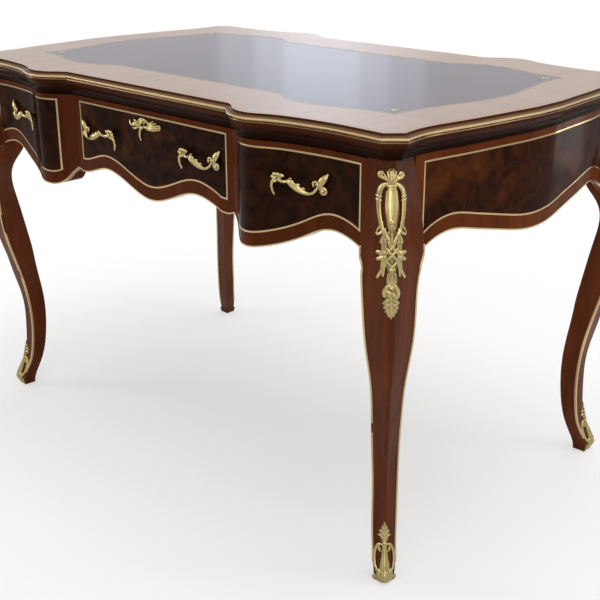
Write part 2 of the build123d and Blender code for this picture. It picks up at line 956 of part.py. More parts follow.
with BuildPart() as lock_case:
    block(
        (-lock_width / 2, lock_width / 2),
        (-lock_face, lock_thickness - lock_face),
        (lock_top - lock_height, lock_top),
    )
    block(
        (-bolt_x - bolt_room, bolt_x + bolt_room),
        (bolt_y[0] - bolt_room, bolt_y[1] + bolt_room),
        (bolt_z[0] - bolt_room, lock_top),
        mode=Mode.SUBTRACT,
    )
    add(key_slot, mode=Mode.SUBTRACT)
save(lock_case, "lock_case")

with BuildPart() as lock_bolt:
    block((-bolt_x, bolt_x), bolt_y, bolt_z)
save(lock_bolt, "lock_bolt")


# ---------------------------------------------------------------- fronts and fittings
def fitted_front(wood, sides, holes):
    with BuildPart() as front:
        add(wood)
        for board in sides:
            add(board.part, mode=Mode.SUBTRACT)
        for hole in holes:
            add(hole, mode=Mode.SUBTRACT)
    return front


def flipped(part):
    with BuildPart() as other:
        mirror(part, about=Plane.YZ)
    return other


centre_sides, centre_back, centre_bottom = centre_box
centre_holes = posts(centre_place, post_radius + hole_room)
centre_wood = fitted_front(
    centre_front,
    centre_sides,
    (centre_holes, flipped(centre_holes).part, key_slot),
)
centre_handle = handle(centre_place, centre_wood.part)
with BuildPart() as centre_brasswork:
    for brass in centre_brass:
        add(brass)
save(centre_wood, "centre_drawer_front")
save(centre_sides[0], "centre_drawer_side_left")
save(centre_sides[1], "centre_drawer_side_right")
save(centre_back, "centre_drawer_back")
save(centre_bottom, "centre_drawer_bottom")
save(centre_brasswork, "centre_drawer_brasswork")
save(centre_handle, "centre_drawer_handle_right")
save(flipped(centre_handle.part), "centre_drawer_handle_left")

side_sides, side_back, side_bottom = side_box
side_wood = fitted_front(side_front, side_sides, (posts(side_place, post_radius + hole_room),))
with BuildPart() as side_brasswork:
    for brass in side_brass:
        add(brass)
for piece, name in (
    (side_wood, "front"),
    (side_sides[0], "side_inner"),
    (side_sides[1], "side_outer"),
    (side_back, "back"),
    (side_bottom, "bottom"),
    (side_brasswork, "brasswork"),
    (handle(side_place, side_wood.part), "handle"),
):
    save(piece, "right_drawer_" + name)
    save(flipped(piece.part), "left_drawer_" + name)
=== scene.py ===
import math

import bpy
import bmesh
from mathutils import Matrix, Vector
from mathutils.bvhtree import BVHTree


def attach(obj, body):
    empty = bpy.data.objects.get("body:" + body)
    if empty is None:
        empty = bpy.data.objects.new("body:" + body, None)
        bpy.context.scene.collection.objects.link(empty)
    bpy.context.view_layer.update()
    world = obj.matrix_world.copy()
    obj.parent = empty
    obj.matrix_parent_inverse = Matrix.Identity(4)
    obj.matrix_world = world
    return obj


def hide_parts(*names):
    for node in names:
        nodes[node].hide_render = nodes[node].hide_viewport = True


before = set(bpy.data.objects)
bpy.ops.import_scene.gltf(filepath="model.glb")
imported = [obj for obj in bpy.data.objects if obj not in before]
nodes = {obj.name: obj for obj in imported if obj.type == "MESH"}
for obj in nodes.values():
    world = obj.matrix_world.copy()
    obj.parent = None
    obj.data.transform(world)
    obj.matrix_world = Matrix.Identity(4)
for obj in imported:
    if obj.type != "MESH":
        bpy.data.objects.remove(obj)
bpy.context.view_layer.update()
print("frame loaded:", len(nodes), "nodes")

# Camera, floor and light, in metres where no note says otherwise.
camera = {
    "place": (1.5419, -1.5160, 1.1041),
    "turn": (90 - 21.027, 0.108, 44.635),  # degrees
    "lens": 63.81,  # mm, as the sensor is
    "sensor": 36,
    "farthest": 60,
}
plainWhite = (1, 1, 1, 1)
floor = {
    "size": 24.0,
    "height": -0.0005,  # just clear of the feet
    "paper": {
        "Base Color": (0.93, 0.93, 0.935, 1),
        "Roughness": 0.9,
        "Specular IOR Level": 0.1,
    },
    # share of plain white, from the table's own ground out to all white
    "fade": {"From Min": 0.75, "From Max": 1.35, "To Min": 0.52, "To Max": 1.0},
}
lamps = {
    # name: (place, size x, size y, power, colour)
    "ceilingSoftbox": ((0.2, 0.3, 2.9), 3.4, 2.6, 70, (1.0, 0.99, 0.97)),
    "windowLeft": ((-2.6, -1.9, 1.5), 0.8, 1.6, 16, (0.97, 0.98, 1.0)),
    "windowRight": ((2.6, 1.6, 1.5), 0.6, 1.7, 10, (0.97, 0.98, 1.0)),
    "frontFill": ((2.0, -3.0, 1.9), 2.2, 1.8, 22, (1.0, 0.98, 0.96)),
    "windowBehindNarrow": ((-1.87, 2.08, 1.28), 0.35, 0.6, 0.30, (0.74, 0.84, 1.0)),
    "windowBehindMiddle": ((-1.86, 2.07, 1.28), 0.62, 0.6, 0.46, (0.74, 0.84, 1.0)),
    "windowBehindWide": ((-1.85, 2.06, 1.28), 0.95, 0.6, 0.62, (0.74, 0.84, 1.0)),
    "doorwayRight": ((1.40, 2.50, 0.45), 0.13, 0.8, 1.6, (1.0, 0.97, 0.93)),
}
lampAim = Vector((0, 0, 0.6))
studio = {"light": 0.4, "white": 1.0}  # on the table, and seen behind it
mmPerMetre = 1000


def shaderMaterial(name):
    material = bpy.data.materials.new(name)
    material.use_nodes = True
    tree = material.node_tree
    return material, tree, tree.nodes["Principled BSDF"]


# A socket takes a plain value, or a link from another node's output.
def feed(tree, node, sockets):
    for label, value in sockets.items():
        if isinstance(value, (int, float, tuple)):
            node.inputs[label].default_value = value
        else:
            tree.links.new(value, node.inputs[label])


def newNode(tree, kind, sockets):
    node = tree.nodes.new("ShaderNode" + kind)
    feed(tree, node, sockets)
    return node


def mathNode(tree, operation, *values, clamp=False):
    node = newNode(tree, "Math", dict(enumerate(values)))
    node.operation = operation
    node.use_clamp = clamp
    return node.outputs[0]


def times(tree, first, second):
    return mathNode(tree, "MULTIPLY", first, second)


def combined(tree, operation, values):
    total = values[0]
    for value in values[1:]:
        total = mathNode(tree, operation, total, value)
    return total


def objectPlace(tree):
    return newNode(tree, "TexCoord", {}).outputs["Object"]


def axesOf(tree, vector):
    return newNode(tree, "SeparateXYZ", {0: vector}).outputs


def mixShaders(tree, share, first, second, out):
    mix = newNode(tree, "MixShader", {0: share, 1: first, 2: second})
    feed(tree, out, {"Surface": mix.outputs[0]})


def addObject(name, data):
    thing = bpy.data.objects.new(name, data)
    bpy.context.scene.collection.objects.link(thing)
    return thing


def buildStage():
    place = (0, 0, floor["height"])
    bpy.ops.mesh.primitive_plane_add(size=floor["size"], location=place)
    plane = bpy.context.object
    plane.name = "studioFloor"
    material, tree, shader = shaderMaterial("studioPaper")
    feed(tree, shader, floor["paper"])
    glow = newNode(tree, "Emission", {"Color": plainWhite})
    distance = newNode(tree, "VectorMath", {0: objectPlace(tree)})
    distance.operation = "LENGTH"
    reach = distance.outputs["Value"]
    fade = newNode(tree, "MapRange", {"Value": reach, **floor["fade"]})
    fade.interpolation_type = "SMOOTHSTEP"
    seen = newNode(tree, "LightPath", {}).outputs["Is Camera Ray"]
    share = times(tree, seen, fade.outputs["Result"])
    out = tree.nodes["Material Output"]
    mixShaders(tree, share, shader.outputs[0], glow.outputs[0], out)
    plane.data.materials.append(material)


def buildWorld():
    world = bpy.data.worlds.new("studio")
    bpy.context.scene.world = world
    world.use_nodes = True
    tree = world.node_tree
    tree.nodes.clear()
    rays = newNode(tree, "LightPath", {}).outputs
    kinds = ("Is Camera Ray", "Is Glossy Ray", "Is Transmission Ray")
    seen = combined(tree, "MAXIMUM", [rays[kind] for kind in kinds])
    soft, white = [
        newNode(tree, "Background", {"Color": plainWhite, "Strength": studio[level]})
        for level in ("light", "white")
    ]
    out = newNode(tree, "OutputWorld", {})
    mixShaders(tree, seen, soft.outputs[0], white.outputs[0], out)


def buildLamps():
    for name, (place, sizeX, sizeY, power, colour) in lamps.items():
        data = bpy.data.lights.new(name, "AREA")
        data.shape = "RECTANGLE"
        data.size = sizeX
        data.size_y = sizeY
        data.energy = power
        data.color = colour
        lamp = addObject(name, data)
        lamp.location = place
        aim = lampAim - Vector(place)
        lamp.rotation_euler = aim.to_track_quat("-Z", "Y").to_euler()


def buildCamera():
    data = bpy.data.cameras.new("camera")
    data.sensor_width = camera["sensor"]
    data.lens = camera["lens"]
    data.clip_end = camera["farthest"]
    viewer = addObject("camera", data)
    viewer.location = camera["place"]
    viewer.rotation_euler = [math.radians(angle) for angle in camera["turn"]]
    bpy.context.scene.camera = viewer


buildStage()
buildWorld()
buildLamps()
buildCamera()
bpy.context.scene.view_settings.view_transform = "Standard"
print("studio ready")


def mixColour(tree, share, first, second, blend="MIX"):
    node = tree.nodes.new("ShaderNodeMix")
    node.data_type = "RGBA"
    node.blend_type = blend
    feed(tree, node, {0: share, 6: first, 7: second})  # 6, 7 and out 2 are the colours
    return node.outputs[2]


def noiseNode(tree, vector, look):
    return newNode(tree, "TexNoise", {"Vector": vector, **look}).outputs["Fac"]


def grey(level):
    return (level, level, level, 1)


# A ramp of greys, from a list of (place, level).
def greyRamp(tree, value, stops):
    node = newNode(tree, "ValToRGB", {0: value})
    ramp = node.color_ramp
    while len(ramp.elements) < len(stops):
        ramp.elements.new(0.5)
    for element, (place, level) in zip(ramp.elements, stops):
        element.position = place
        element.color = grey(level)
    return node.outputs[0]


def mapped(tree, vector, scale=(1, 1, 1), shift=(0, 0, 0)):
    sockets = {"Vector": vector, "Scale": scale, "Location": shift}
    return newNode(tree, "Mapping", sockets).outputs[0]


def bumped(tree, height, look):
    return newNode(tree, "Bump", {"Height": height, **look}).outputs[0]


def newGroup(name, inputs, outputs):
    group = bpy.data.node_groups.new(name, "ShaderNodeTree")
    for label, kind, value in inputs:
        socket = group.interface.new_socket(
            label, in_out="INPUT", socket_type="NodeSocket" + kind
        )
        if value is not None:
            socket.default_value = value
    for label, kind in outputs:
        group.interface.new_socket(
            label, in_out="OUTPUT", socket_type="NodeSocket" + kind
        )
    given = group.nodes.new("NodeGroupInput").outputs
    return group, given, group.nodes.new("NodeGroupOutput")


def groupNode(tree, group, **sockets):
    node = tree.nodes.new("ShaderNodeGroup")
    node.node_tree = group
    feed(tree, node, sockets)
    return node.outputs


grainFigure = {
    "wide": {"Scale": 5.0, "Detail": 5, "Roughness": 0.6, "Distortion": 0.4},
    "fine": {"Scale": 34.0, "Detail": 3, "Roughness": 0.7, "Distortion": 0},
    "ribbon": {"Scale": 1.6, "Detail": 2, "Roughness": 0.5, "Distortion": 1.2},
    "wideShare": 0.7,
    "fineShare": 0.3,
    "streakShare": 0.85,
    "contrast": [(0.32, 0), (0.86, 1)],
}


# Straight grain: the vector comes already stretched along the grain.
def buildGrainGroup():
    group, given, out = newGroup(
        "straightGrain",
        [
            ("Vector", "Vector", None),
            ("Deep", "Color", grey(0)),
            ("Pale", "Color", grey(1)),
            ("Ribbon", "Float", 0.4),
        ],
        [("Colour", "Color"), ("Pores", "Float")],
    )
    wide = noiseNode(group, given["Vector"], grainFigure["wide"])
    fine = noiseNode(group, given["Vector"], grainFigure["fine"])
    ribbon = noiseNode(group, given["Vector"], grainFigure["ribbon"])
    ribboned = times(group, ribbon, given["Ribbon"])
    wide = times(group, wide, grainFigure["wideShare"])
    pores = times(group, fine, grainFigure["fineShare"])
    streaks = mathNode(group, "ADD", wide, pores)
    streaks = times(group, streaks, grainFigure["streakShare"])
    total = mathNode(group, "ADD", streaks, ribboned)
    share = greyRamp(group, total, grainFigure["contrast"])
    colour = mixColour(group, share, given["Deep"], given["Pale"])
    feed(group, out, {"Colour": colour, "Pores": fine})
    return group


burrFigure = {
    "clouds": {"Scale": 7.0, "Detail": 3, "Roughness": 0.55, "Distortion": 0.8},
    "swirl": {"Scale": 16.0, "Detail": 6, "Roughness": 0.62, "Distortion": 2.6},
    "eyeScale": 55.0,
    "eyeShare": 0.6,
    "eyeDepth": [(0.0, 0.45), (0.16, 1)],
    "warmFrom": [(0.38, 0), (0.66, 1)],
    "fireFrom": [(0.52, 0), (0.74, 1)],
}


# Burr: clouds, swirls and small eyes in a dark ground.
def buildBurrGroup():
    group, given, out = newGroup(
        "burrFigure",
        [
            ("Vector", "Vector", None),
            ("Dark", "Color", grey(0)),
            ("Warm", "Color", grey(0.5)),
            ("Glow", "Color", grey(1)),
            ("Fire", "Float", 0.5),
        ],
        [("Colour", "Color"), ("Swirl", "Float")],
    )
    vector = given["Vector"]
    clouds = noiseNode(group, vector, burrFigure["clouds"])
    swirl = noiseNode(group, vector, burrFigure["swirl"])
    sockets = {"Vector": vector, "Scale": burrFigure["eyeScale"]}
    eyes = newNode(group, "TexVoronoi", sockets)
    warm = greyRamp(group, swirl, burrFigure["warmFrom"])
    ground = mixColour(group, warm, given["Dark"], given["Warm"])
    fire = greyRamp(group, clouds, burrFigure["fireFrom"])
    fire = times(group, fire, given["Fire"])
    fire = mathNode(group, "MULTIPLY", fire, swirl, clamp=True)
    glowing = mixColour(group, fire, ground, given["Glow"])
    speck = greyRamp(group, eyes.outputs["Distance"], burrFigure["eyeDepth"])
    colour = mixColour(group, burrFigure["eyeShare"], glowing, speck, "MULTIPLY")
    feed(group, out, {"Colour": colour, "Swirl": swirl})
    return group


giltFigure = {
    "spots": {"Scale": 160.0, "Detail": 4, "Roughness": 0.6},
    "broad": {"Scale": 30.0, "Detail": 3, "Roughness": 0.5},
    "brightFrom": [(0.42, 0), (0.53, 1)],
    "mottle": 0.5,
    "brightest": 0.6,
    "dullRoughness": 0.25,
    "spotRoughness": 0.3,
}


# Gilding: bright on the crests, dull and brown in the hollows and on the undersides;
# partly the dull gilding of the recesses, partly painted shade.
def buildGiltGroup():
    group, given, out = newGroup(
        "giltTone",
        [
            ("Vector", "Vector", None),
            ("Hollow", "Float", 0.5),
            ("Bright", "Color", grey(1)),
            ("Shade", "Color", grey(0.2)),
        ],
        [("Colour", "Color"), ("Roughness", "Float"), ("Pits", "Float")],
    )
    spots = noiseNode(group, given["Vector"], giltFigure["spots"])
    broad = noiseNode(group, given["Vector"], giltFigure["broad"])
    brightShare = greyRamp(group, given["Hollow"], giltFigure["brightFrom"])
    mottle = times(group, broad, giltFigure["mottle"])
    mottle = mathNode(group, "ADD", mottle, giltFigure["brightest"], clamp=True)
    share = times(group, brightShare, mottle)
    colour = mixColour(group, share, given["Shade"], given["Bright"])
    dull = mathNode(group, "SUBTRACT", 1.0, share)
    dull = times(group, dull, giltFigure["dullRoughness"])
    rough = times(group, spots, giltFigure["spotRoughness"])
    rough = mathNode(group, "ADD", dull, rough)
    feed(group, out, {"Colour": colour, "Roughness": rough, "Pits": spots})
    return group


grainGroup = buildGrainGroup()
burrGroup = buildBurrGroup()
giltGroup = buildGiltGroup()

frenchPolish = {
    "IOR": 1.45,
    "Specular IOR Level": 0.12,
    "Specular Tint": (1.0, 0.74, 0.58, 1),
    "Coat Weight": 0.0,
    "Coat Roughness": 0.05,
    "Coat IOR": 1.45,
}
edgePolish = {**frenchPolish, "Specular IOR Level": 0.024, "Coat Roughness": 0.3}
burrPolish = {**frenchPolish, "Specular IOR Level": 0.032, "Roughness": 0.16}
topPolish = {
    "IOR": 1.5,
    "Specular IOR Level": 0.22,
    "Coat Weight": 0.58,
    "Coat Roughness": 0.3,
    "Coat IOR": 1.5,
    "Roughness": 0.32,
}
polishedPores = (0.12, 0.24)  # roughness between a wood's pores, and in them
barePores = (0.45, 0.65)
woodTones = {
    # name: (deep, pale)
    "leg": ((0.042, 0.0085, 0.0032, 1), (0.175, 0.042, 0.0115, 1)),
    "edge": ((0.022, 0.0055, 0.0026, 1), (0.078, 0.0190, 0.0070, 1)),
    "band": ((0.034, 0.0072, 0.0026, 1), (0.108, 0.0255, 0.0075, 1)),
    # painted light: a lighter copy of the band for the end panels, for the floor's reflection on
    # them
    "endBandFloorLit": ((0.052, 0.0115, 0.0036, 1), (0.165, 0.0400, 0.0100, 1)),
    "top": ((0.105, 0.0460, 0.0230, 1), (0.225, 0.1200, 0.0640, 1)),
    "lining": ((0.210, 0.1200, 0.0560, 1), (0.420, 0.2800, 0.1500, 1)),
    "gold": ((0.420, 0.3500, 0.2000, 1), (0.700, 0.6200, 0.4200, 1)),
}
burrTones = {
    "front": {
        "Dark": (0.0105, 0.0052, 0.0034, 1),
        "Warm": (0.036, 0.0110, 0.0052, 1),
        "Glow": (0.10, 0.030, 0.010, 1),
    },
    "end": {
        "Dark": (0.0190, 0.0060, 0.0032, 1),
        "Warm": (0.052, 0.0130, 0.0044, 1),
        "Glow": (0.15, 0.040, 0.009, 1),
    },
}
woodRibbon = 0.35
poreBump = {"Strength": 0.12, "Distance": 0.0004}
edgeStripShadeAndSheen = {
    "span": {"From Min": 0.738, "From Max": 0.780},  # heights of the two ramps
    "strip": 0.7796,  # the strip above this is level with the top
    "stripCoat": 0.6,
    # painted shade: darker down the cove, where the moulding casts its shadow
    "shade": [(0.0, 0.22), (0.22, 0.30), (0.40, 0.45), (0.56, 1.0)],
    # painted sheen: a lighter band on the slope under the strip, in the colour below
    "brightShare": [(0.84, 0.0), (0.86, 1.0), (0.89, 1.0), (0.925, 0.1)],
    "slope": (0.150, 0.088, 0.044, 1),
}
# painted shade by height: the legs darken where they run up into the shadow under the overhanging
# top, and a little towards the floor
legShade = [(0.0, 0.82), (0.45, 0.9), (0.60, 1.0), (0.66, 0.9), (0.73, 0.6)]


def grainNode(tree, tone, vector, ribbon):
    deep, pale = woodTones[tone]
    return groupNode(tree, grainGroup, Vector=vector, Deep=deep, Pale=pale, Ribbon=ribbon)


# The strip level with the top is finished with it; a painted sheen lightens
# the slope under it, and painted shade darkens the cove below it.
def edgeShadeAndSheen(tree, colour, up, strip):
    rise = newNode(tree, "MapRange", {"Value": up, **edgeStripShadeAndSheen["span"]})
    shade = greyRamp(tree, rise.outputs["Result"], edgeStripShadeAndSheen["shade"])
    brightShare = greyRamp(tree, rise.outputs["Result"], edgeStripShadeAndSheen["brightShare"])
    colour = mixColour(tree, 1.0, colour, shade, "MULTIPLY")
    colour = mixColour(tree, brightShare, colour, edgeStripShadeAndSheen["slope"])
    return mixColour(tree, strip, colour, woodTones["top"][1])


def woodMaterial(name, tone, stretch, gloss=frenchPolish, pores=polishedPores):
    material, tree, shader = shaderMaterial(name)
    feed(tree, shader, gloss)
    place = objectPlace(tree)
    grain = grainNode(tree, tone, mapped(tree, place, stretch), woodRibbon)
    colour = grain["Colour"]
    if tone == "edge":
        # painted shade and painted sheen down the moulding, by height
        up = axesOf(tree, place)["Z"]
        strip = mathNode(tree, "GREATER_THAN", up, edgeStripShadeAndSheen["strip"])
        colour = edgeShadeAndSheen(tree, colour, up, strip)
        coat = times(tree, strip, edgeStripShadeAndSheen["stripCoat"])
        feed(tree, shader, {"Coat Weight": coat})
    if tone == "leg":
        # painted shade on the legs, by height
        shade = greyRamp(tree, axesOf(tree, place)["Z"], legShade)
        colour = mixColour(tree, 1.0, colour, shade, "MULTIPLY")
    low, high = pores
    rough = mathNode(tree, "MULTIPLY_ADD", grain["Pores"], high - low, low)
    bump = bumped(tree, grain["Pores"], poreBump)
    feed(tree, shader, {"Base Color": colour, "Roughness": rough, "Normal": bump})
    return material


def dress(material, *names):
    for name in names:
        nodes[name].material_slots[0].material = material


# The frieze panels: burr inside the brass line frame, redder cross-banding
# outside it. Measures in mm.
panelFrames = {
    # along: object axis, bottom: lower edge of the apron as (distance, height)
    "centre": {
        "along": "X",
        "reach": (0, 212.5),
        "bottom": [(0, 567), (75, 588), (143, 602), (192, 588), (216, 585)],
    },
    "side": {
        "along": "X",
        "reach": (263.5, 515.5),
        "bottom": [
            (247, 576), (262, 559), (287, 553), (352, 565), (405, 588), (462, 608),
            (531, 585),
        ],
    },
    "end": {
        "along": "Y",
        "reach": (0, 270.5),
        "bottom": [
            (0, 570), (50, 574.5), (110, 587), (160, 598), (208, 606), (250, 596),
            (291, 567),
        ],
    },
}
frameLift = 26.5  # the middle of the lower brass line, above the apron's edge
frameTop = 724.5
bandStretch = (9, 9, 1.2)
bandRibbon = 0.5


def insideFrame(tree, place, panel):
    axes = axesOf(tree, place)
    along = mathNode(tree, "ABSOLUTE", axes[panel["along"]])
    up = axes["Z"]
    distances, heights = zip(*panel["bottom"])
    first, width = distances[0], distances[-1] - distances[0]
    low, rise = min(heights), max(heights) - min(heights)
    scale, base = mmPerMetre / width, -first / width
    share = mathNode(tree, "MULTIPLY_ADD", along, scale, base)
    curve = newNode(tree, "FloatCurve", {"Value": share})
    points = curve.mapping.curves[0].points
    while len(points) < len(panel["bottom"]):
        points.new(0.5, 0.5)
    for point, (distance, height) in zip(points, panel["bottom"]):
        point.location = ((distance - first) / width, (height - low) / rise)
    curve.mapping.update()
    scale, base = rise / mmPerMetre, (low + frameLift) / mmPerMetre
    bottom = mathNode(tree, "MULTIPLY_ADD", curve.outputs[0], scale, base)
    nearest, farthest = panel["reach"]
    tests = [
        mathNode(tree, "GREATER_THAN", up, bottom),
        mathNode(tree, "LESS_THAN", up, frameTop / mmPerMetre),
        mathNode(tree, "LESS_THAN", along, farthest / mmPerMetre),
    ]
    if nearest > 0:
        tests.append(mathNode(tree, "GREATER_THAN", along, nearest / mmPerMetre))
    return combined(tree, "MULTIPLY", tests)


def friezeMaterial(name, panels, shift, tone="front", fire=0.9):
    material, tree, shader = shaderMaterial(name)
    feed(tree, shader, burrPolish)
    place = objectPlace(tree)
    frames = [insideFrame(tree, place, panelFrames[panel]) for panel in panels]
    mask = combined(tree, "MAXIMUM", frames)
    # the end panels take the band's painted-light copy
    bandTone = "endBandFloorLit" if tone == "end" else "band"
    band = grainNode(tree, bandTone, mapped(tree, place, bandStretch), bandRibbon)
    cut = mapped(tree, place, shift=shift)
    burr = groupNode(tree, burrGroup, Vector=cut, Fire=fire, **burrTones[tone])
    colour = mixColour(tree, mask, band["Colour"], burr["Colour"])
    feed(tree, shader, {"Base Color": colour})
    return material


legWood = woodMaterial("legVeneer", "leg", (10, 10, 0.9))
edgeWoodX = woodMaterial("edgeWoodLong", "edge", (0.8, 9, 12), edgePolish)
edgeWoodY = woodMaterial("edgeWoodShort", "edge", (9, 0.8, 12), edgePolish)
liningAlongY = woodMaterial("liningOak", "lining", (8, 0.9, 8), pores=barePores)
liningAlongX = woodMaterial("liningOakCross", "lining", (0.9, 8, 8), pores=barePores)
friezeLeft = friezeMaterial("friezeLeft", ["side"], (0.31, 0.2, 0.11))
friezeCentre = friezeMaterial("friezeCentre", ["centre"], (0.74, 0.1, 0.52), fire=1.1)
friezeRight = friezeMaterial("friezeRight", ["side"], (0.12, 0.5, 0.83), fire=0.5)
friezeEnds = friezeMaterial("friezeEnds", ["end"], (0.42, 0.77, 0.21), "end", 1.1)
friezeBack = friezeMaterial("friezeBack", ["centre", "side"], (0.9, 0.34, 0.66))

for node in nodes:
    if node.startswith("leg_") and "fillets" not in node:
        dress(legWood, node)
    if "divider" in node or "runner" in node or "_drawer_side" in node:
        dress(liningAlongY, node)
    if node.endswith(("_drawer_back", "_drawer_bottom", "_rail")):
        dress(liningAlongX, node)
dress(edgeWoodX, "edge_moulding_front", "edge_moulding_back")
dress(edgeWoodY, "edge_moulding_left", "edge_moulding_right")
dress(friezeLeft, "left_drawer_front")
dress(friezeCentre, "centre_drawer_front")
dress(friezeRight, "right_drawer_front")
dress(friezeEnds, "end_panel_left", "end_panel_right")
dress(friezeBack, "back_frieze")

topLook = {
    "mitre": 0.2475,  # where on the long axis the mitres of the corners would meet
    "ribbon": 0.45,
    "longStretch": (10, 1.0, 10),
    "endStretch": (1.0, 10, 10),
}


def topMaterial():
    material, tree, shader = shaderMaterial("topVeneer")
    feed(tree, shader, topPolish)
    place = objectPlace(tree)
    axes = axesOf(tree, place)
    across = mathNode(tree, "ABSOLUTE", axes["X"])
    across = mathNode(tree, "SUBTRACT", across, topLook["mitre"])
    beside = mathNode(tree, "ABSOLUTE", axes["Y"])
    atEnds = mathNode(tree, "GREATER_THAN", across, beside)
    long = mapped(tree, place, topLook["longStretch"])
    long = grainNode(tree, "top", long, topLook["ribbon"])
    ends = mapped(tree, place, topLook["endStretch"])
    ends = grainNode(tree, "top", ends, topLook["ribbon"])
    colour = mixColour(tree, atEnds, long["Colour"], ends["Colour"])
    feed(tree, shader, {"Base Color": colour})
    return material


leatherLook = {
    "dark": (0.030, 0.0140, 0.0200, 1),
    "light": (0.050, 0.0250, 0.0350, 1),
    "clouds": {"Scale": 5.0, "Detail": 3, "Roughness": 0.5},
    "cloudsFrom": [(0.3, 0), (0.7, 1)],
    "grain": {"Scale": 420.0, "Detail": 2, "Roughness": 0.6},
    "grainBump": {"Strength": 0.15, "Distance": 0.0003},
    "finish": {
        "Roughness": 0.3,
        "Specular IOR Level": 0.06,
        "Coat Weight": 0.42,
        "Coat Roughness": 0.12,
        "Coat Tint": (0.82, 0.86, 1.0, 1),
    },
}


def leatherMaterial():
    material, tree, shader = shaderMaterial("writingLeather")
    feed(tree, shader, leatherLook["finish"])
    place = objectPlace(tree)
    clouds = noiseNode(tree, place, leatherLook["clouds"])
    share = greyRamp(tree, clouds, leatherLook["cloudsFrom"])
    colour = mixColour(tree, share, leatherLook["dark"], leatherLook["light"])
    grain = noiseNode(tree, place, leatherLook["grain"])
    bump = bumped(tree, grain, leatherLook["grainBump"])
    feed(tree, shader, {"Base Color": colour, "Normal": bump})
    return material


dress(topMaterial(), "top_panel")
dress(leatherMaterial(), "leather_inset")

giltTones = {
    # name: (bright, shade)
    "mount": ((0.53, 0.42, 0.19, 1), (0.100, 0.064, 0.016, 1)),
    "line": ((0.62, 0.45, 0.235, 1), (0.35, 0.24, 0.11, 1)),
    "thin": ((0.20, 0.125, 0.055, 1), (0.10, 0.055, 0.022, 1)),
    "lock": ((0.58, 0.46, 0.25, 1), (0.22, 0.16, 0.08, 1)),
}
giltLook = {
    "thinLine": (0.765, 0.7685),  # heights of the thin line round the top's edge
    "hollows": (0.15, 0.39),  # scale and base from the carving's relief to its hollows
    "pitBump": {"Strength": 0.10, "Distance": 0.0003},
}


def giltMaterial(name, tone, chased=False):
    material, tree, shader = shaderMaterial(name)
    bright, shade = giltTones[tone]
    place = objectPlace(tree)
    # the hollows and undersides darken the gilding: painted shade, with the dull gilding of the
    # recesses
    if chased:
        relief = newNode(tree, "Attribute", {})
        relief.attribute_name = "relief"
        height = relief.outputs["Fac"]
        hollow = mathNode(tree, "MULTIPLY_ADD", height, *giltLook["hollows"])
    else:
        hollow = newNode(tree, "NewGeometry", {}).outputs["Pointiness"]
    if tone == "line":
        # the thin lower line of the top's edge is darker than the bead, by height
        up = axesOf(tree, place)["Z"]
        low, high = giltLook["thinLine"]
        above = mathNode(tree, "GREATER_THAN", up, low)
        lowerLine = times(tree, above, mathNode(tree, "LESS_THAN", up, high))
        bright = mixColour(tree, lowerLine, bright, giltTones["thin"][0])
        shade = mixColour(tree, lowerLine, shade, giltTones["thin"][1])
    sockets = {"Vector": place, "Hollow": hollow, "Bright": bright, "Shade": shade}
    gilt = groupNode(tree, giltGroup, **sockets)
    bump = bumped(tree, gilt["Pits"], giltLook["pitBump"])
    colour, rough = gilt["Colour"], gilt["Roughness"]
    sockets = {"Base Color": colour, "Roughness": rough, "Normal": bump, "Metallic": 1.0}
    feed(tree, shader, sockets)
    return material


mountGilt = giltMaterial("mountGilt", "mount", chased=True)
lineBrass = giltMaterial("lineBrass", "line")
lockBrass = giltMaterial("lockBrass", "lock")
brassWords = ("brasswork", "fillets", "knee_mount", "sabot", "handle", "escutcheon")
for node in nodes:
    if any(word in node for word in brassWords):
        dress(lineBrass, node)
dress(lockBrass, "lock_case", "lock_bolt")
print("materials ready")

# The mounts are built up from tapering strokes of metal. A stroke's points
# are (along, up, radius) or (along, up, radius, height), in mm.
stroke = {
    "step": 1.6,  # between rings
    "thinnest": 0.15,
    "upright": 0.1,  # a heading closer than this to straight out keeps the last turn
    "seat": 0.35,  # height of a point that gives none, in radii
    "capReach": 0.6,  # of the ring past each end, in radii
    "capWidth": 0.75,
    # painted shade level at a stroke's two tips
    "capRelief": 0.7,
    "ballSides": 10,
    "ballStretch": 0.02,  # half a ball's straight part, in radii
}
# painted shade and highlight from a stroke's height and facing: dark where it meets the wood and
# on its underside, bright on its crest
reliefShading = {
    "lowest": -0.1,  # height of the darkest hollows, in mm
    "depth": 2.4,
    "sides": 0.6,  # how bright a stroke's sides are, and how much brighter its crest
    "crest": 0.4,
}


# A smooth curve through the rows, cut into steps.
def smoothPath(rows, step):
    padded = [rows[0], *rows, rows[-1]]
    path = []
    for i in range(1, len(padded) - 2):
        before, start, end, after = padded[i - 1 : i + 3]
        count = max(2, round(math.dist(start[:3], end[:3]) / step))
        for n in range(count):
            t = n / count
            row = []
            for a, b, c, d in zip(before, start, end, after):
                bend = (2 * a - 5 * b + 4 * c - d) * t * t + (3 * b - a - 3 * c + d) * t**3
                row.append(0.5 * (2 * b + (c - a) * t + bend))
            path.append(row)
    path.append(list(padded[-1]))
    return path


def addRing(form, place, middle, aside, over, radius, flat, sides):
    relief = form.verts.layers.float["relief"]
    ring = []
    for k in range(sides):
        turn = 2 * math.pi * k / sides
        out = aside * (math.cos(turn) * radius)
        point = middle + out + over * (math.sin(turn) * radius * flat)
        vertex = form.verts.new(place(point))
        # painted shade: darker the lower a point lies and the more it faces the wood
        raised = min(max((point.z - reliefShading["lowest"]) / reliefShading["depth"], 0), 1)
        vertex[relief] = raised * (reliefShading["sides"] + reliefShading["crest"] * math.sin(turn))
        ring.append(vertex)
    return ring


def joinRings(form, low, high):
    for k, corner in enumerate(low):
        beside = (k + 1) % len(low)
        form.faces.new((corner, low[beside], high[beside], high[k]))


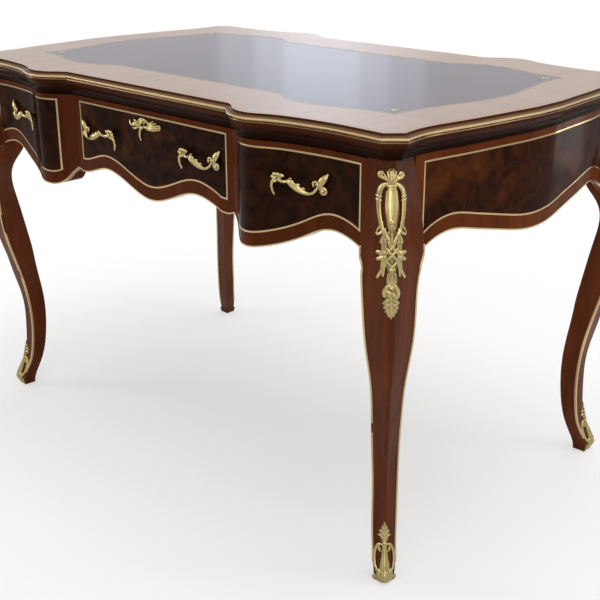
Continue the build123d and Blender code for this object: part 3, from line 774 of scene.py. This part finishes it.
def addStroke(form, place, points, flat=1.0, sides=8):
    rows = []
    for along, up, radius, *given in points:
        height = given[0] if given else stroke["seat"] * radius * flat
        rows.append((along, up, height, radius))
    path = smoothPath(rows, stroke["step"])
    middles = [Vector(row[:3]) for row in path]
    last = len(path) - 1
    rings = []
    aside = Vector((1, 0, 0))
    for i, row in enumerate(path):
        heading = (middles[min(i + 1, last)] - middles[max(i - 1, 0)]).normalized()
        turned = heading.cross(Vector((0, 0, 1)))
        if turned.length > stroke["upright"]:
            aside = turned.normalized()
        over = aside.cross(heading)
        radius = max(row[3], stroke["thinnest"])
        cap = heading * stroke["capReach"] * radius
        capRadius = stroke["capWidth"] * radius
        if i == 0:
            rings.append((middles[0] - cap, aside, over, capRadius))
            tip = middles[0] - heading * radius
        rings.append((middles[i], aside, over, radius))
        if i == last:
            rings.append((middles[i] + cap, aside, over, capRadius))
            end = middles[i] + heading * radius
    loops = [addRing(form, place, *ring, flat, sides) for ring in rings]
    for low, high in zip(loops, loops[1:]):
        joinRings(form, low, high)
    relief = form.verts.layers.float["relief"]
    for point, loop, flip in ((tip, loops[0], 1), (end, loops[-1], -1)):
        pole = form.verts.new(place(point))
        pole[relief] = stroke["capRelief"]
        for k in range(sides):
            form.faces.new((loop[(k + 1) % sides], loop[k], pole)[::flip])


def addBall(form, place, along, up, radius, height):
    reach = stroke["ballStretch"] * radius
    ends = [(along, up - reach, radius, height), (along, up + reach, radius, height)]
    addStroke(form, place, ends, sides=stroke["ballSides"])


def newForm():
    form = bmesh.new()
    form.verts.layers.float.new("relief")
    return form


def metalPiece(form, name, material):
    bmesh.ops.recalc_face_normals(form, faces=form.faces)
    mesh = bpy.data.meshes.new(name)
    form.to_mesh(mesh)
    form.free()
    mesh.shade_smooth()
    mesh.materials.append(material)
    return addObject(name, mesh)


def mirrored(piece, name, flipX, flipY):
    mesh = piece.data.copy()
    mesh.name = name
    mesh.transform(Matrix.Diagonal((flipX, flipY, 1, 1)))
    if flipX * flipY < 0:
        mesh.flip_normals()
    return addObject(name, mesh)


# A drawing's single strokes stand alone, its paired ones have a mirror image.
def addOrnament(form, place, drawing):
    for flat, points in drawing["single"]:
        addStroke(form, place, points, flat)
    for flat, points in drawing.get("paired", []):
        addStroke(form, place, points, flat)
        addStroke(form, place, [(-along, *rest) for along, *rest in points], flat)
    for ball in drawing["balls"]:
        addBall(form, place, *ball)


# A leg's mount is wrapped round its outer corner: rays come in along the
# diagonal and stop at the wood.
legCorner = Vector((0.572, -0.351, 0))
outwardWay = Vector((1, -1, 0)).normalized()
sideWay = Vector((1, 1, 0)).normalized()
legWrap = {
    "start": 0.2,  # of each ray, in metres out from the corner
    "reaches": (1, 0.94, 0.88, 0.8, 0.7, 0.5, 0),  # tried in turn until a ray meets wood
    "drop": 0.38,  # a mount sinks by this share of the way it wraps back
    "lowest": 0.3,  # mm above the floor
}


def woodTree(node):
    piece = nodes[node]
    points = [piece.matrix_world @ v.co for v in piece.data.vertices]
    return BVHTree.FromPolygons(points, [p.vertices[:] for p in piece.data.polygons])


def legSurface(lean):
    tree = woodTree("leg_front_right")
    (highest, asideHigh), (lowest, asideLow) = lean

    def touch(across, up):
        share = (up - lowest) / (highest - lowest)
        middle = asideLow + (asideHigh - asideLow) * share
        for reach in legWrap["reaches"]:
            base = legCorner + sideWay * ((middle + reach * across) / mmPerMetre)
            base.z = max(up, legWrap["lowest"]) / mmPerMetre
            hit = tree.ray_cast(base + outwardWay * legWrap["start"], -outwardWay)[0]
            if hit is not None:
                return hit + sideWay * ((1 - reach) * across / mmPerMetre)

    def place(point):
        ridge = touch(0, point.y)
        side = touch(point.x, point.y)
        back = max(0, (ridge - side).dot(outwardWay)) * mmPerMetre
        up = max(point.y - legWrap["drop"] * back, legWrap["lowest"])
        return touch(point.x, up) + outwardWay * (point.z / mmPerMetre)

    return place


def addCorners(piece, stem, node):
    for flipY, front in ((1, "front"), (-1, "back")):
        for flipX, side in ((1, "right"), (-1, "left")):
            one = mirrored(piece, stem + front.title() + side.title(), flipX, flipY)
            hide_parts(f"{node}_{front}_{side}")
            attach(one, "carcass")
    bpy.data.objects.remove(piece)


kneeMount = {
    "lean": ((721, 5.0), (503, 7.6)),  # (height, how far the middle stands aside)
    "single": [
        # crest
        (0.34, [(0, 703, 6.5), (0, 711, 9), (0, 717, 8.4), (0, 721, 6.4)]),
        (1, [(0, 703, 2.4, 4), (0, 713, 4, 3.6), (0, 719, 4.2, 2.8), (0, 722.4, 2.8, 2.2)]),
        # cabochon
        (0.55, [
            (0, 703, 6.6), (0, 698, 8), (0, 684, 9.6), (0, 672, 9.8), (0, 660, 9.4), (0, 650, 8.8),
            (0, 642, 7), (0, 638, 4.5),
        ]),
        (1, [(0, 697, 1.6, 4.6), (0, 684, 1.8, 5.6), (0, 668, 1.9, 6), (0, 650, 1.6, 4.8)]),
        (1, [(-7.5, 702.5, 2.4, 2.2), (0, 701.5, 2.6, 4.4), (7.5, 702.5, 2.4, 2.2)]),
        # stem and lattice
        (1, [(0, 646, 4.2, 2.6), (0, 636, 3.6), (0, 622, 3), (0, 608, 2.4)]),
        (0.12, [
            (0, 634, 9), (0, 624, 11), (0, 614, 12), (0, 600, 10.5), (0, 588, 10), (0, 580, 9),
        ]),
        (1, [(-13.5, 640, 2.9, 2), (-9, 633, 3.3, 2.6), (-4, 624, 2.8, 3.2), (-1, 614, 2, 3)]),
        (1, [(13.5, 640, 2.9, 2), (9, 633, 3.3, 2.6), (4, 624, 2.8, 3.2), (1, 614, 2, 3)]),
        # knot
        (0.6, [(0, 580, 5.6), (0, 572, 6.4), (0, 563, 7.4), (0, 556, 6.6)]),
        (1, [(0, 580, 2, 4), (0, 570, 2.2, 4.8), (0, 558, 1.8, 4.4)]),
        (1, [
            (-9.8, 539, 3.4), (-10.6, 545, 3.8), (-7.5, 552, 4), (0, 555.5, 4.2), (7.5, 551.5, 4),
            (10.6, 544.5, 3.8), (9.8, 538, 3.4),
        ]),
        (0.42, [(0, 552, 7), (0, 542, 9)]),
        (1, [(-6.5, 547, 3.2, 4), (0, 543.5, 3.6, 5), (7.5, 536, 3.2, 3)]),
        # drop leaf
        (0.26, [(0, 537, 8.5), (0, 529, 12.4), (0, 520, 11.8), (0, 511, 8.6), (0, 501.5, 1.6)]),
        (1, [(0, 536, 2.8, 3), (0, 520, 2.6, 3.8), (0, 502, 1.1, 1.2)]),
    ],
    "paired": [
        # leaves of the crest
        (1, [(2.4, 704, 1.8, 3), (4.6, 716, 2.5, 2.8), (6, 721.5, 1.6, 2)]),
        (1, [(4.4, 705, 1.8, 2.4), (8.4, 713, 2.4, 2.2), (10.5, 718, 1.4, 1.4)]),
        (0.5, [(12, 714.5, 2.6), (15.4, 718, 3)]),
        (1, [
            (7, 709, 2.4), (12, 713, 2.8), (17, 715.5, 2.7), (18.6, 719, 2.4), (15.8, 721.6, 2.2),
            (12.4, 720, 2), (13, 717, 1.8),
        ]),
        # the scroll round the cabochon, and its bands
        (1, [
            (5, 703.5, 3), (11.5, 703, 4.4), (16.2, 698.5, 4.7), (18.4, 690.5, 4.7),
            (19, 682, 4.3), (18.6, 669, 3.8), (17.4, 658, 3.4), (15, 646, 3.3), (12.5, 637, 3),
            (9, 629, 2.4),
        ]),
        (1, [(22.6, 691, 1.3, 3), (19, 689, 1.6, 5.4), (15.2, 687.5, 1.3, 3)]),
        (1, [(22.6, 685.5, 1.3, 3), (19, 683.5, 1.6, 5), (15.2, 682, 1.3, 3)]),
        # flutes of the cabochon
        (1, [(4, 696, 1.6, 3.6), (5.6, 674, 1.8, 4.4), (4.4, 650, 1.5, 3.2)]),
        (1, [(7.2, 694, 1.3, 2), (8.6, 672, 1.5, 2.2), (7, 653, 1.3, 1.8)]),
        # leaves at the scroll's foot
        (1, [(14, 650, 2.2), (17.5, 645, 2), (21, 640, 1.7), (21.8, 636, 1.2)]),
        (1, [(11, 640, 3), (15.5, 636.5, 3), (20.5, 634.5, 2.2), (22.4, 637, 1.4)]),
        (1, [(9.5, 634, 3), (14, 628, 2.6), (17, 622, 1.5)]),
        # straps of the lattice
        (0.55, [(12, 628, 3.6), (11, 614, 3.8), (10.8, 600, 3.8), (12, 588, 3.8), (14, 580, 3.2)]),
        (1, [(9.6, 624, 1.4, 3), (8.6, 604, 1.4, 3), (9.4, 586, 1.4, 3)]),
        (1, [(14.6, 622, 1.3, 2), (13.8, 604, 1.3, 2), (15.4, 586, 1.3, 2)]),
        # its crossings
        (1, [(-7, 612, 2, 3), (0, 603, 2.3, 3.8), (7, 594, 2, 3), (0, 585, 2.2, 3.4)]),
        (1, [(-6, 622, 1.9, 3), (0, 615, 2.1, 3.6), (7, 606, 1.9, 3)]),
        # leaves beside it
        (1, [(12, 607, 3.4, 1.6), (17, 608, 3.8, 1.4), (20.4, 609, 3.5, 1)]),
        (1, [(12, 600, 3.4, 1.6), (16.5, 599, 3.8, 1.4), (20, 598.2, 3.5, 1)]),
        (0.6, [(14.5, 602, 4), (15.5, 607, 4)]),
        # scrolls at the knot
        (1, [(12.6, 588, 2.4), (15, 580, 2.9), (18.5, 573.5, 2.9), (20.5, 569.5, 2.6)]),
        (1, [(11, 586, 2.2), (12.4, 576, 2.4), (12.8, 571, 2.1)]),
        (1, [(5.5, 574, 1.4, 2.6), (6.4, 565, 1.5, 2.6), (6, 557, 1.4, 2.4)]),
        # lobes of the drop leaf
        (1, [(3, 534, 2.4, 2.6), (8, 530.5, 2.8, 2.2), (11.4, 527.5, 2.1, 1)]),
        (1, [(2, 527, 2.2, 2.8), (7.4, 522, 2.8, 2.2), (10.4, 519.5, 2.1, 1)]),
        (1, [(1.5, 520, 2, 2.6), (5.4, 515, 2.5, 2), (7.8, 512.6, 1.8, 0.8)]),
        (1, [(1, 512, 1.6, 2), (3, 507, 1.8, 1.4), (4, 505, 1.3, 0.8)]),
    ],
    "balls": [
        (0, 650.5, 4.2, 4.6), (-4.4, 697.5, 1.9, 4.4), (0, 696.5, 2.1, 5.4),
        (4.4, 697.5, 1.9, 4.4), (0, 552.5, 4, 4.4), (0, 715.5, 2.6, 5.4),
    ],
}

sabotCast = {
    "lean": ((110, 13.2), (0, 13.8)),
    "single": [
        # palmette
        (0.24, [
            (0, 72, 5), (0, 79, 8), (0, 85, 9.4), (0, 94, 7.6), (0, 102, 4.4), (0, 109.5, 1.2),
        ]),
        (1, [(0, 68, 2.2, 2.4), (0, 84, 2, 3.4), (0, 108, 0.8, 1.4)]),
        # fluted middle
        (0.5, [(0, 72, 4.6), (0, 62, 5.4), (0, 48, 7.4), (0, 34, 9.4), (0, 24, 10)]),
        (1, [(0, 70, 1.5, 2.8), (0, 52, 1.8, 4.4), (0, 34, 2.2, 5.6), (0, 26, 2, 5)]),
        # toe
        (0.6, [
            (-15, 12, 6, 0.6), (-8, 13, 8, 1.4), (0, 13, 9, 2), (8, 13, 8, 1.4), (15, 12, 6, 0.6),
        ]),
        (1, [
            (-15.5, 4.6, 3.2, 0.4), (-8, 3.6, 3.6, 1.4), (0, 3.6, 3.8, 2), (8, 3.6, 3.6, 1.4),
            (15.5, 4.6, 3.2, 0.4),
        ]),
        (1, [(0, 25, 3.8, 4.2), (0, 17, 4.8, 5.2), (0, 8, 4, 3.6)]),
    ],
    "paired": [
        # lobes of the palmette
        (1, [(1, 78, 1.8, 2.2), (6, 83.5, 2.2, 1.8), (9.6, 84, 1.7, 1.2)]),
        (1, [(1, 85, 1.7, 2.2), (5, 91, 2, 1.6), (8, 91.5, 1.4, 1)]),
        (1, [(0.6, 93, 1.5, 1.8), (3, 99, 1.6, 1.2), (4.8, 99.6, 1, 0.6)]),
        # side scrolls
        (1, [(5.4, 57, 1.6), (9, 58.5, 2), (9.6, 64.5, 2), (5.8, 68.5, 2), (1.6, 66, 1.6)]),
        (1, [
            (5, 68.5, 2.1), (11, 67, 2.5), (15.4, 58, 2.6), (17, 46, 2.6), (16, 34, 2.6),
            (12.4, 25.5, 2.8),
        ]),
        # flutes
        (1, [(2.4, 66, 1.2, 2.2), (3.6, 50, 1.4, 3.6), (4.4, 34, 1.7, 4.6), (4.6, 27, 1.6, 4.2)]),
        (1, [(4.6, 50, 1.2, 1.8), (6.6, 38, 1.5, 2.8), (7.6, 28, 1.5, 2.8)]),
        # toe
        (1, [(4.6, 25, 2.4, 4), (5.4, 17, 3, 4.4), (5, 9, 2.6, 3)]),
        (1, [(10, 27, 3.4, 2.2), (10.6, 18, 4, 3), (9.6, 10, 3.2, 1.8)]),
    ],
    "balls": [(0, 72, 3.6, 3), (7.4, 62.5, 1.6, 2.6), (-7.4, 62.5, 1.6, 2.6), (0, 27, 3, 7)],
}


def buildLegMounts():
    mounts = (("kneeMount", "knee_mount", kneeMount), ("sabot", "sabot", sabotCast))
    for stem, node, drawing in mounts:
        form = newForm()
        addOrnament(form, legSurface(drawing["lean"]), drawing)
        addCorners(metalPiece(form, stem, mountGilt), stem, node)


# The brass on a leg's side corners runs on up to the apron's own strip.
arrisTips = {
    "radius": 2.0,
    "end": [
        (596.2, -291.8, 603), (596.4, -292.2, 592), (596.6, -293.8, 584), (596.8, -297.2, 576),
        (596.6, -300.8, 566),
    ],
    "front": [
        (532, -365.2, 603), (532.2, -365.4, 592), (533.4, -365.5, 584), (536.4, -365.6, 576),
        (538.6, -365.6, 566),
    ],
}


def buildArrisTips():
    form = newForm()
    for side in ("end", "front"):
        points = [(x, y, arrisTips["radius"], z) for x, y, z in arrisTips[side]]
        addStroke(form, lambda point: point / mmPerMetre, points)
    piece = metalPiece(form, "arrisTip", lineBrass)
    for flipX, side in ((1, "Right"), (-1, "Left")):
        for flipY, front in ((1, "Front"), (-1, "Back")):
            one = mirrored(piece, "arrisTip" + front + side, flipX, flipY)
            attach(one, "carcass")
    bpy.data.objects.remove(piece)


buildLegMounts()
buildArrisTips()
print("leg mounts ready")

# A handle is drawn in a plane of its own: along the front, up, and out from it.
handleCast = {
    "single": [
        # posts
        (1, [(-31, 10, 4.4, 1), (-31, 10, 4, 9)]),
        (1, [(51, 3, 4.4, 1), (51, 3, 4, 6.5)]),
        # rosette
        (0.6, [(-35, 9.5, 6.6, 7.4), (-31, 10.5, 7.6, 8), (-26, 11.5, 6.4, 8)]),
        (0.7, [(-26, 13.5, 3.6, 9), (-21.5, 15.5, 4, 10), (-17, 15, 2.4, 10)]),
        # tail
        (1, [
            (-35, 7, 3.6, 8.6), (-39.6, 2, 3.4, 8), (-41.4, -5, 3.1, 7), (-40.2, -12, 2.8, 6.2),
            (-37.6, -17.6, 2.4, 5.6),
        ]),
        # bow and its leaves
        (1, [(-26, 8.5, 3.8, 10), (-18, 6.6, 3, 11.5), (-11, 7.4, 2.9, 12.8), (-5, 9, 3.4, 14)]),
        (0.75, [
            (-4, 9.6, 4.6, 14), (1, 7.8, 6.8, 15), (7, 4, 6.2, 16), (13, 1.6, 6.8, 16),
            (20, -1.6, 5.6, 16), (26, -4, 4.2, 15.6), (33, -5.6, 2.9, 14.6),
        ]),
        (1, [(-3, 8, 1.5, 18), (7, 3.4, 1.7, 20.4), (18, -1.2, 1.6, 20), (28, -4.6, 1.2, 17.4)]),
        (0.8, [(-3, 9.5, 3, 14.4), (-1.4, 13, 2.6, 14), (1, 14, 1.4, 13.8)]),
        (0.8, [(10, 3.6, 3, 16), (14, 6.6, 2.8, 15.6), (17.4, 6.4, 1.5, 15.4)]),
        (0.8, [(20, -0.4, 2.8, 16), (24, 1.8, 2.4, 15.4), (27, 1.4, 1.3, 15)]),
        # ring
        (1, [
            (31, -5.3, 2.7, 15), (38.5, -4.6, 2.5, 13), (44.4, 0, 2.5, 11), (47.4, 6, 2.6, 9.4),
            (46.4, 11.6, 2.5, 8.6), (42, 13.8, 2.4, 8), (38.4, 10.6, 2.3, 8.4),
            (39.6, 6.6, 2.1, 9.2),
        ]),
        # end leaf
        (0.6, [
            (47.5, 6.5, 4, 6.6), (51, 11, 6.4, 7), (55.6, 17, 6.8, 7), (59.8, 22, 5.4, 6),
            (63, 26.6, 2.2, 5),
        ]),
        (1, [(48, 7, 1.7, 8.8), (55.6, 17, 1.8, 9.8), (62.4, 26.2, 0.9, 6.4)]),
        # curl
        (1, [
            (49, 5, 3.4, 7), (54.4, 4.8, 3.6, 6.6), (60, 3, 3.6, 5.6), (60.6, -1.8, 3.4, 5.2),
            (55.6, -4, 3.4, 5.6), (51.4, -1.4, 3, 6.4), (54.6, 0.8, 2.6, 8),
        ]),
    ],
    "balls": [
        (-37.6, 11.6, 4, 9), (-34.2, 16, 4.1, 9), (-28, 16.6, 4.1, 9.4), (-25.4, 7.4, 3.8, 9.6),
        (-33.4, 5.2, 3.8, 9), (-31, 11, 3.6, 12.4), (43, 9.4, 2.2, 7.4), (55.6, 0.6, 4.6, 7.4),
    ],
}
centreHandle = {"x": 0.137, "face": 0.348, "z": 0.6655}
sideHandle = {"start": (0.346, -0.3668), "end": (0.431, -0.3505), "z": 0.670}
rightWay = Vector((1, 0, 0))
upWay = Vector((0, 0, 1))
frontWay = Vector((0, -1, 0))


def planePlace(origin, along, up, outward):
    def place(point):
        return origin + (along * point.x + up * point.y + outward * point.z) / mmPerMetre

    return place


def placeHandle(form, node, body):
    base = metalPiece(form, "handleCast", mountGilt)
    for sign, side in ((1, "right"), (-1, "left")):
        target = node.format(side)
        piece = mirrored(base, "handle" + target.title().replace("_", ""), sign, 1)
        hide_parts(target)
        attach(piece, body.format(side))
    bpy.data.objects.remove(base)


def buildHandles():
    form = newForm()
    origin = Vector((centreHandle["x"], -centreHandle["face"], centreHandle["z"]))
    addOrnament(form, planePlace(origin, rightWay, upWay, frontWay), handleCast)
    placeHandle(form, "centre_drawer_handle_{}", "drawer_centre")
    form = newForm()
    start = Vector((*sideHandle["start"], sideHandle["z"]))
    end = Vector((*sideHandle["end"], sideHandle["z"]))
    along = (end - start).normalized()
    outward = Vector((along.y, -along.x, 0))
    addOrnament(form, planePlace((start + end) / 2, along, upWay, outward), handleCast)
    placeHandle(form, "{}_drawer_handle", "drawer_{}")


escutcheonCast = {
    "single": [
        # plate
        (0.45, [(-42, 706, 4), (-33, 706, 5.5), (-25, 704, 5)]),
        (0.45, [(-24, 706, 5), (-18, 712, 4.6), (-8, 713, 4)]),
        (0.45, [(2, 706, 4.6), (12, 708, 5.8), (22, 708.6, 5.6), (31, 708.4, 4)]),
        # leaves to the left
        (1, [
            (-14, 702, 3.2), (-24, 704, 3.6), (-34, 706, 3.9), (-43, 703.5, 3.6),
            (-49, 705.5, 2.8), (-52, 711, 1.4),
        ]),
        (1, [(-26, 708, 2.4), (-34, 712.5, 2.5), (-41, 713, 1.4)]),
        (1, [(-30, 700, 2.2), (-38, 697.5, 2.4), (-45, 698, 1.3)]),
        # scroll over the key hole
        (1, [
            (-20, 700, 3.2), (-25, 706, 3.1), (-24, 713, 2.9), (-17, 717.4, 2.7), (-9, 716.8, 2.5),
            (-6, 712.8, 2.3), (-10, 709.5, 2),
        ]),
        (1, [(-9, 718.2, 2.5), (0, 714.6, 2.7), (7, 708, 2.3)]),
        (1, [(-10, 705, 2.2), (-3, 702, 2.4), (4, 700, 2)]),
        # fan
        (1, [(4, 707, 1.9, 4), (12, 712.4, 2.5, 3.8), (18, 717.4, 1.5, 1.6)]),
        (1, [(5, 706, 1.9, 4), (16, 711, 2.5, 4), (26, 715.4, 1.5, 1.6)]),
        (1, [(5, 705, 1.9, 4), (18, 708, 2.6, 4.2), (33, 711.8, 1.7, 1.6)]),
        (1, [(5, 704, 1.9, 4), (18, 705, 2.5, 4), (35.5, 708, 1.9, 1.6)]),
        (1, [(6, 702.4, 1.8, 3.6), (18, 702, 2.3, 3.4), (31, 704, 1.7, 1.6)]),
        (1, [(36, 712, 1.7), (38, 707.6, 1.9), (34, 703.4, 1.7)]),
        # drop
        (1, [
            (-16, 702, 3.2, 2.6), (-20, 694, 3.1, 2.4), (-21, 686, 2.7, 2),
            (-19.5, 677.5, 1.4, 1.2),
        ]),
    ],
    "balls": [(-14, 711.5, 3.2, 3.2), (1, 705, 3.6, 4)],
}
escutcheonLift = 0.0008  # off the drawer's face


def buildEscutcheon():
    form = newForm()
    origin = Vector((0, -centreHandle["face"] - escutcheonLift, 0))
    addOrnament(form, planePlace(origin, rightWay, upWay, frontWay), escutcheonCast)
    piece = metalPiece(form, "escutcheonShell", mountGilt)
    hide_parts("escutcheon")
    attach(piece, "drawer_centre")


buildHandles()
buildEscutcheon()
print("drawer mounts ready")


# The outermost points of a node between two heights, in turn round the table.
def ringOf(node, low, high):
    piece = nodes[node]
    farthest = {}
    for vertex in piece.data.vertices:
        point = piece.matrix_world @ vertex.co
        if low < point.z < high:
            turn = round(math.atan2(point.y, point.x), 3)
            if turn not in farthest or point.xy.length > farthest[turn].xy.length:
                farthest[turn] = point
    return [farthest[turn].xy for turn in sorted(farthest)]


def evenSteps(outline, pitch):
    steps = []
    carried = 0.0
    for start, end in zip(outline, outline[1:] + outline[:1]):
        length = (end - start).length
        way = (end - start) / max(length, 1e-9)
        while carried < length:
            steps.append((start + way * carried, way))
            carried += pitch
        carried -= length
    return steps


# A tube round the table, with radii, and a painted highlight and shade, that repeat along it.
def closedTube(form, steps, look):
    relief = form.verts.layers.float["relief"]
    loops = []
    for i, (point, way) in enumerate(steps):
        outward = Vector((way.y, -way.x))
        middle = point - outward * look["inward"]
        radius = look["radii"][i % len(look["radii"])]
        loop = []
        for k in range(look["sides"]):
            turn = 2 * math.pi * k / look["sides"]
            side = middle + outward * (radius * math.cos(turn))
            height = look["height"] + radius * math.sin(turn)
            vertex = form.verts.new((side.x, side.y, height))
            vertex[relief] = look["shines"][i % len(look["shines"])]
            loop.append(vertex)
        loops.append(loop)
    for low, high in zip(loops, loops[1:] + loops[:1]):
        joinRings(form, low, high)


# A fine chased rope between the bead and the thin line of the top's edge.
fringe = {
    "between": (0.7674, 0.7678),  # heights on the brass that it follows
    "height": 0.7688,
    "inward": 0.0006,
    "pitch": 0.0011,
    "sides": 6,
    "radii": (0.0013, 0.0010, 0.0005, 0.0010),
    # painted highlight and shade along the twist, darkest in its dips
    "shines": (0.7, 0.4, 0.0, 0.3),
}


def buildFringe():
    form = newForm()
    steps = evenSteps(ringOf("edge_brasswork", *fringe["between"]), fringe["pitch"])
    twist = len(fringe["radii"])
    closedTube(form, steps[: len(steps) // twist * twist], fringe)
    piece = metalPiece(form, "edgeFringe", mountGilt)
    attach(piece, "carcass")


tooling = {
    "between": (0.7795, 0.7800),
    "pitch": 0.006,
    "line": {
        "height": 0.77945,
        "inward": 0.0042,
        "sides": 6,
        "radii": (0.0006,),
        "shines": (0.6,),
    },
    "flowerHeight": 0.77985,
    "flowerSides": 6,
    "flowerRelief": 0.4,
    "flowers": [
        # (x, y, the way it points, in degrees)
        (0.470, -0.217, 154),
        (-0.470, -0.217, 26),
        (0.470, 0.217, 206),
        (-0.470, 0.217, -26),
    ],
    "petals": [
        (0.5, [(0, 0, 1.6), (0, 9, 2.2), (0, 15, 0.7)]),
        (0.5, [(0, 1, 1.2), (6, 5, 1.6), (11, 4, 0.7)]),
        (0.5, [(0, 1, 1.2), (-6, 5, 1.6), (-11, 4, 0.7)]),
        (0.5, [(0, -1, 1.2), (5, -4, 1.3), (9, -4, 0.6)]),
        (0.5, [(0, -1, 1.2), (-5, -4, 1.3), (-9, -4, 0.6)]),
    ],
}
toolingGold = woodMaterial("toolingGold", "gold", (30, 30, 30), pores=barePores)


def buildTooling():
    form = newForm()
    outline = ringOf("leather_inset", *tooling["between"])
    closedTube(form, evenSteps(outline, tooling["pitch"]), tooling["line"])
    for x, y, turn in tooling["flowers"]:
        angle = math.radians(turn)
        inward = Vector((math.cos(angle), math.sin(angle), 0))
        across = Vector((-inward.y, inward.x, 0))
        origin = Vector((x, y, tooling["flowerHeight"]))
        place = planePlace(origin, across, inward, upWay * tooling["flowerRelief"])
        for flat, points in tooling["petals"]:
            addStroke(form, place, points, flat, tooling["flowerSides"])
    piece = metalPiece(form, "leatherTooling", toolingGold)
    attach(piece, "carcass")


buildFringe()
buildTooling()
print("fringe and tooling ready")
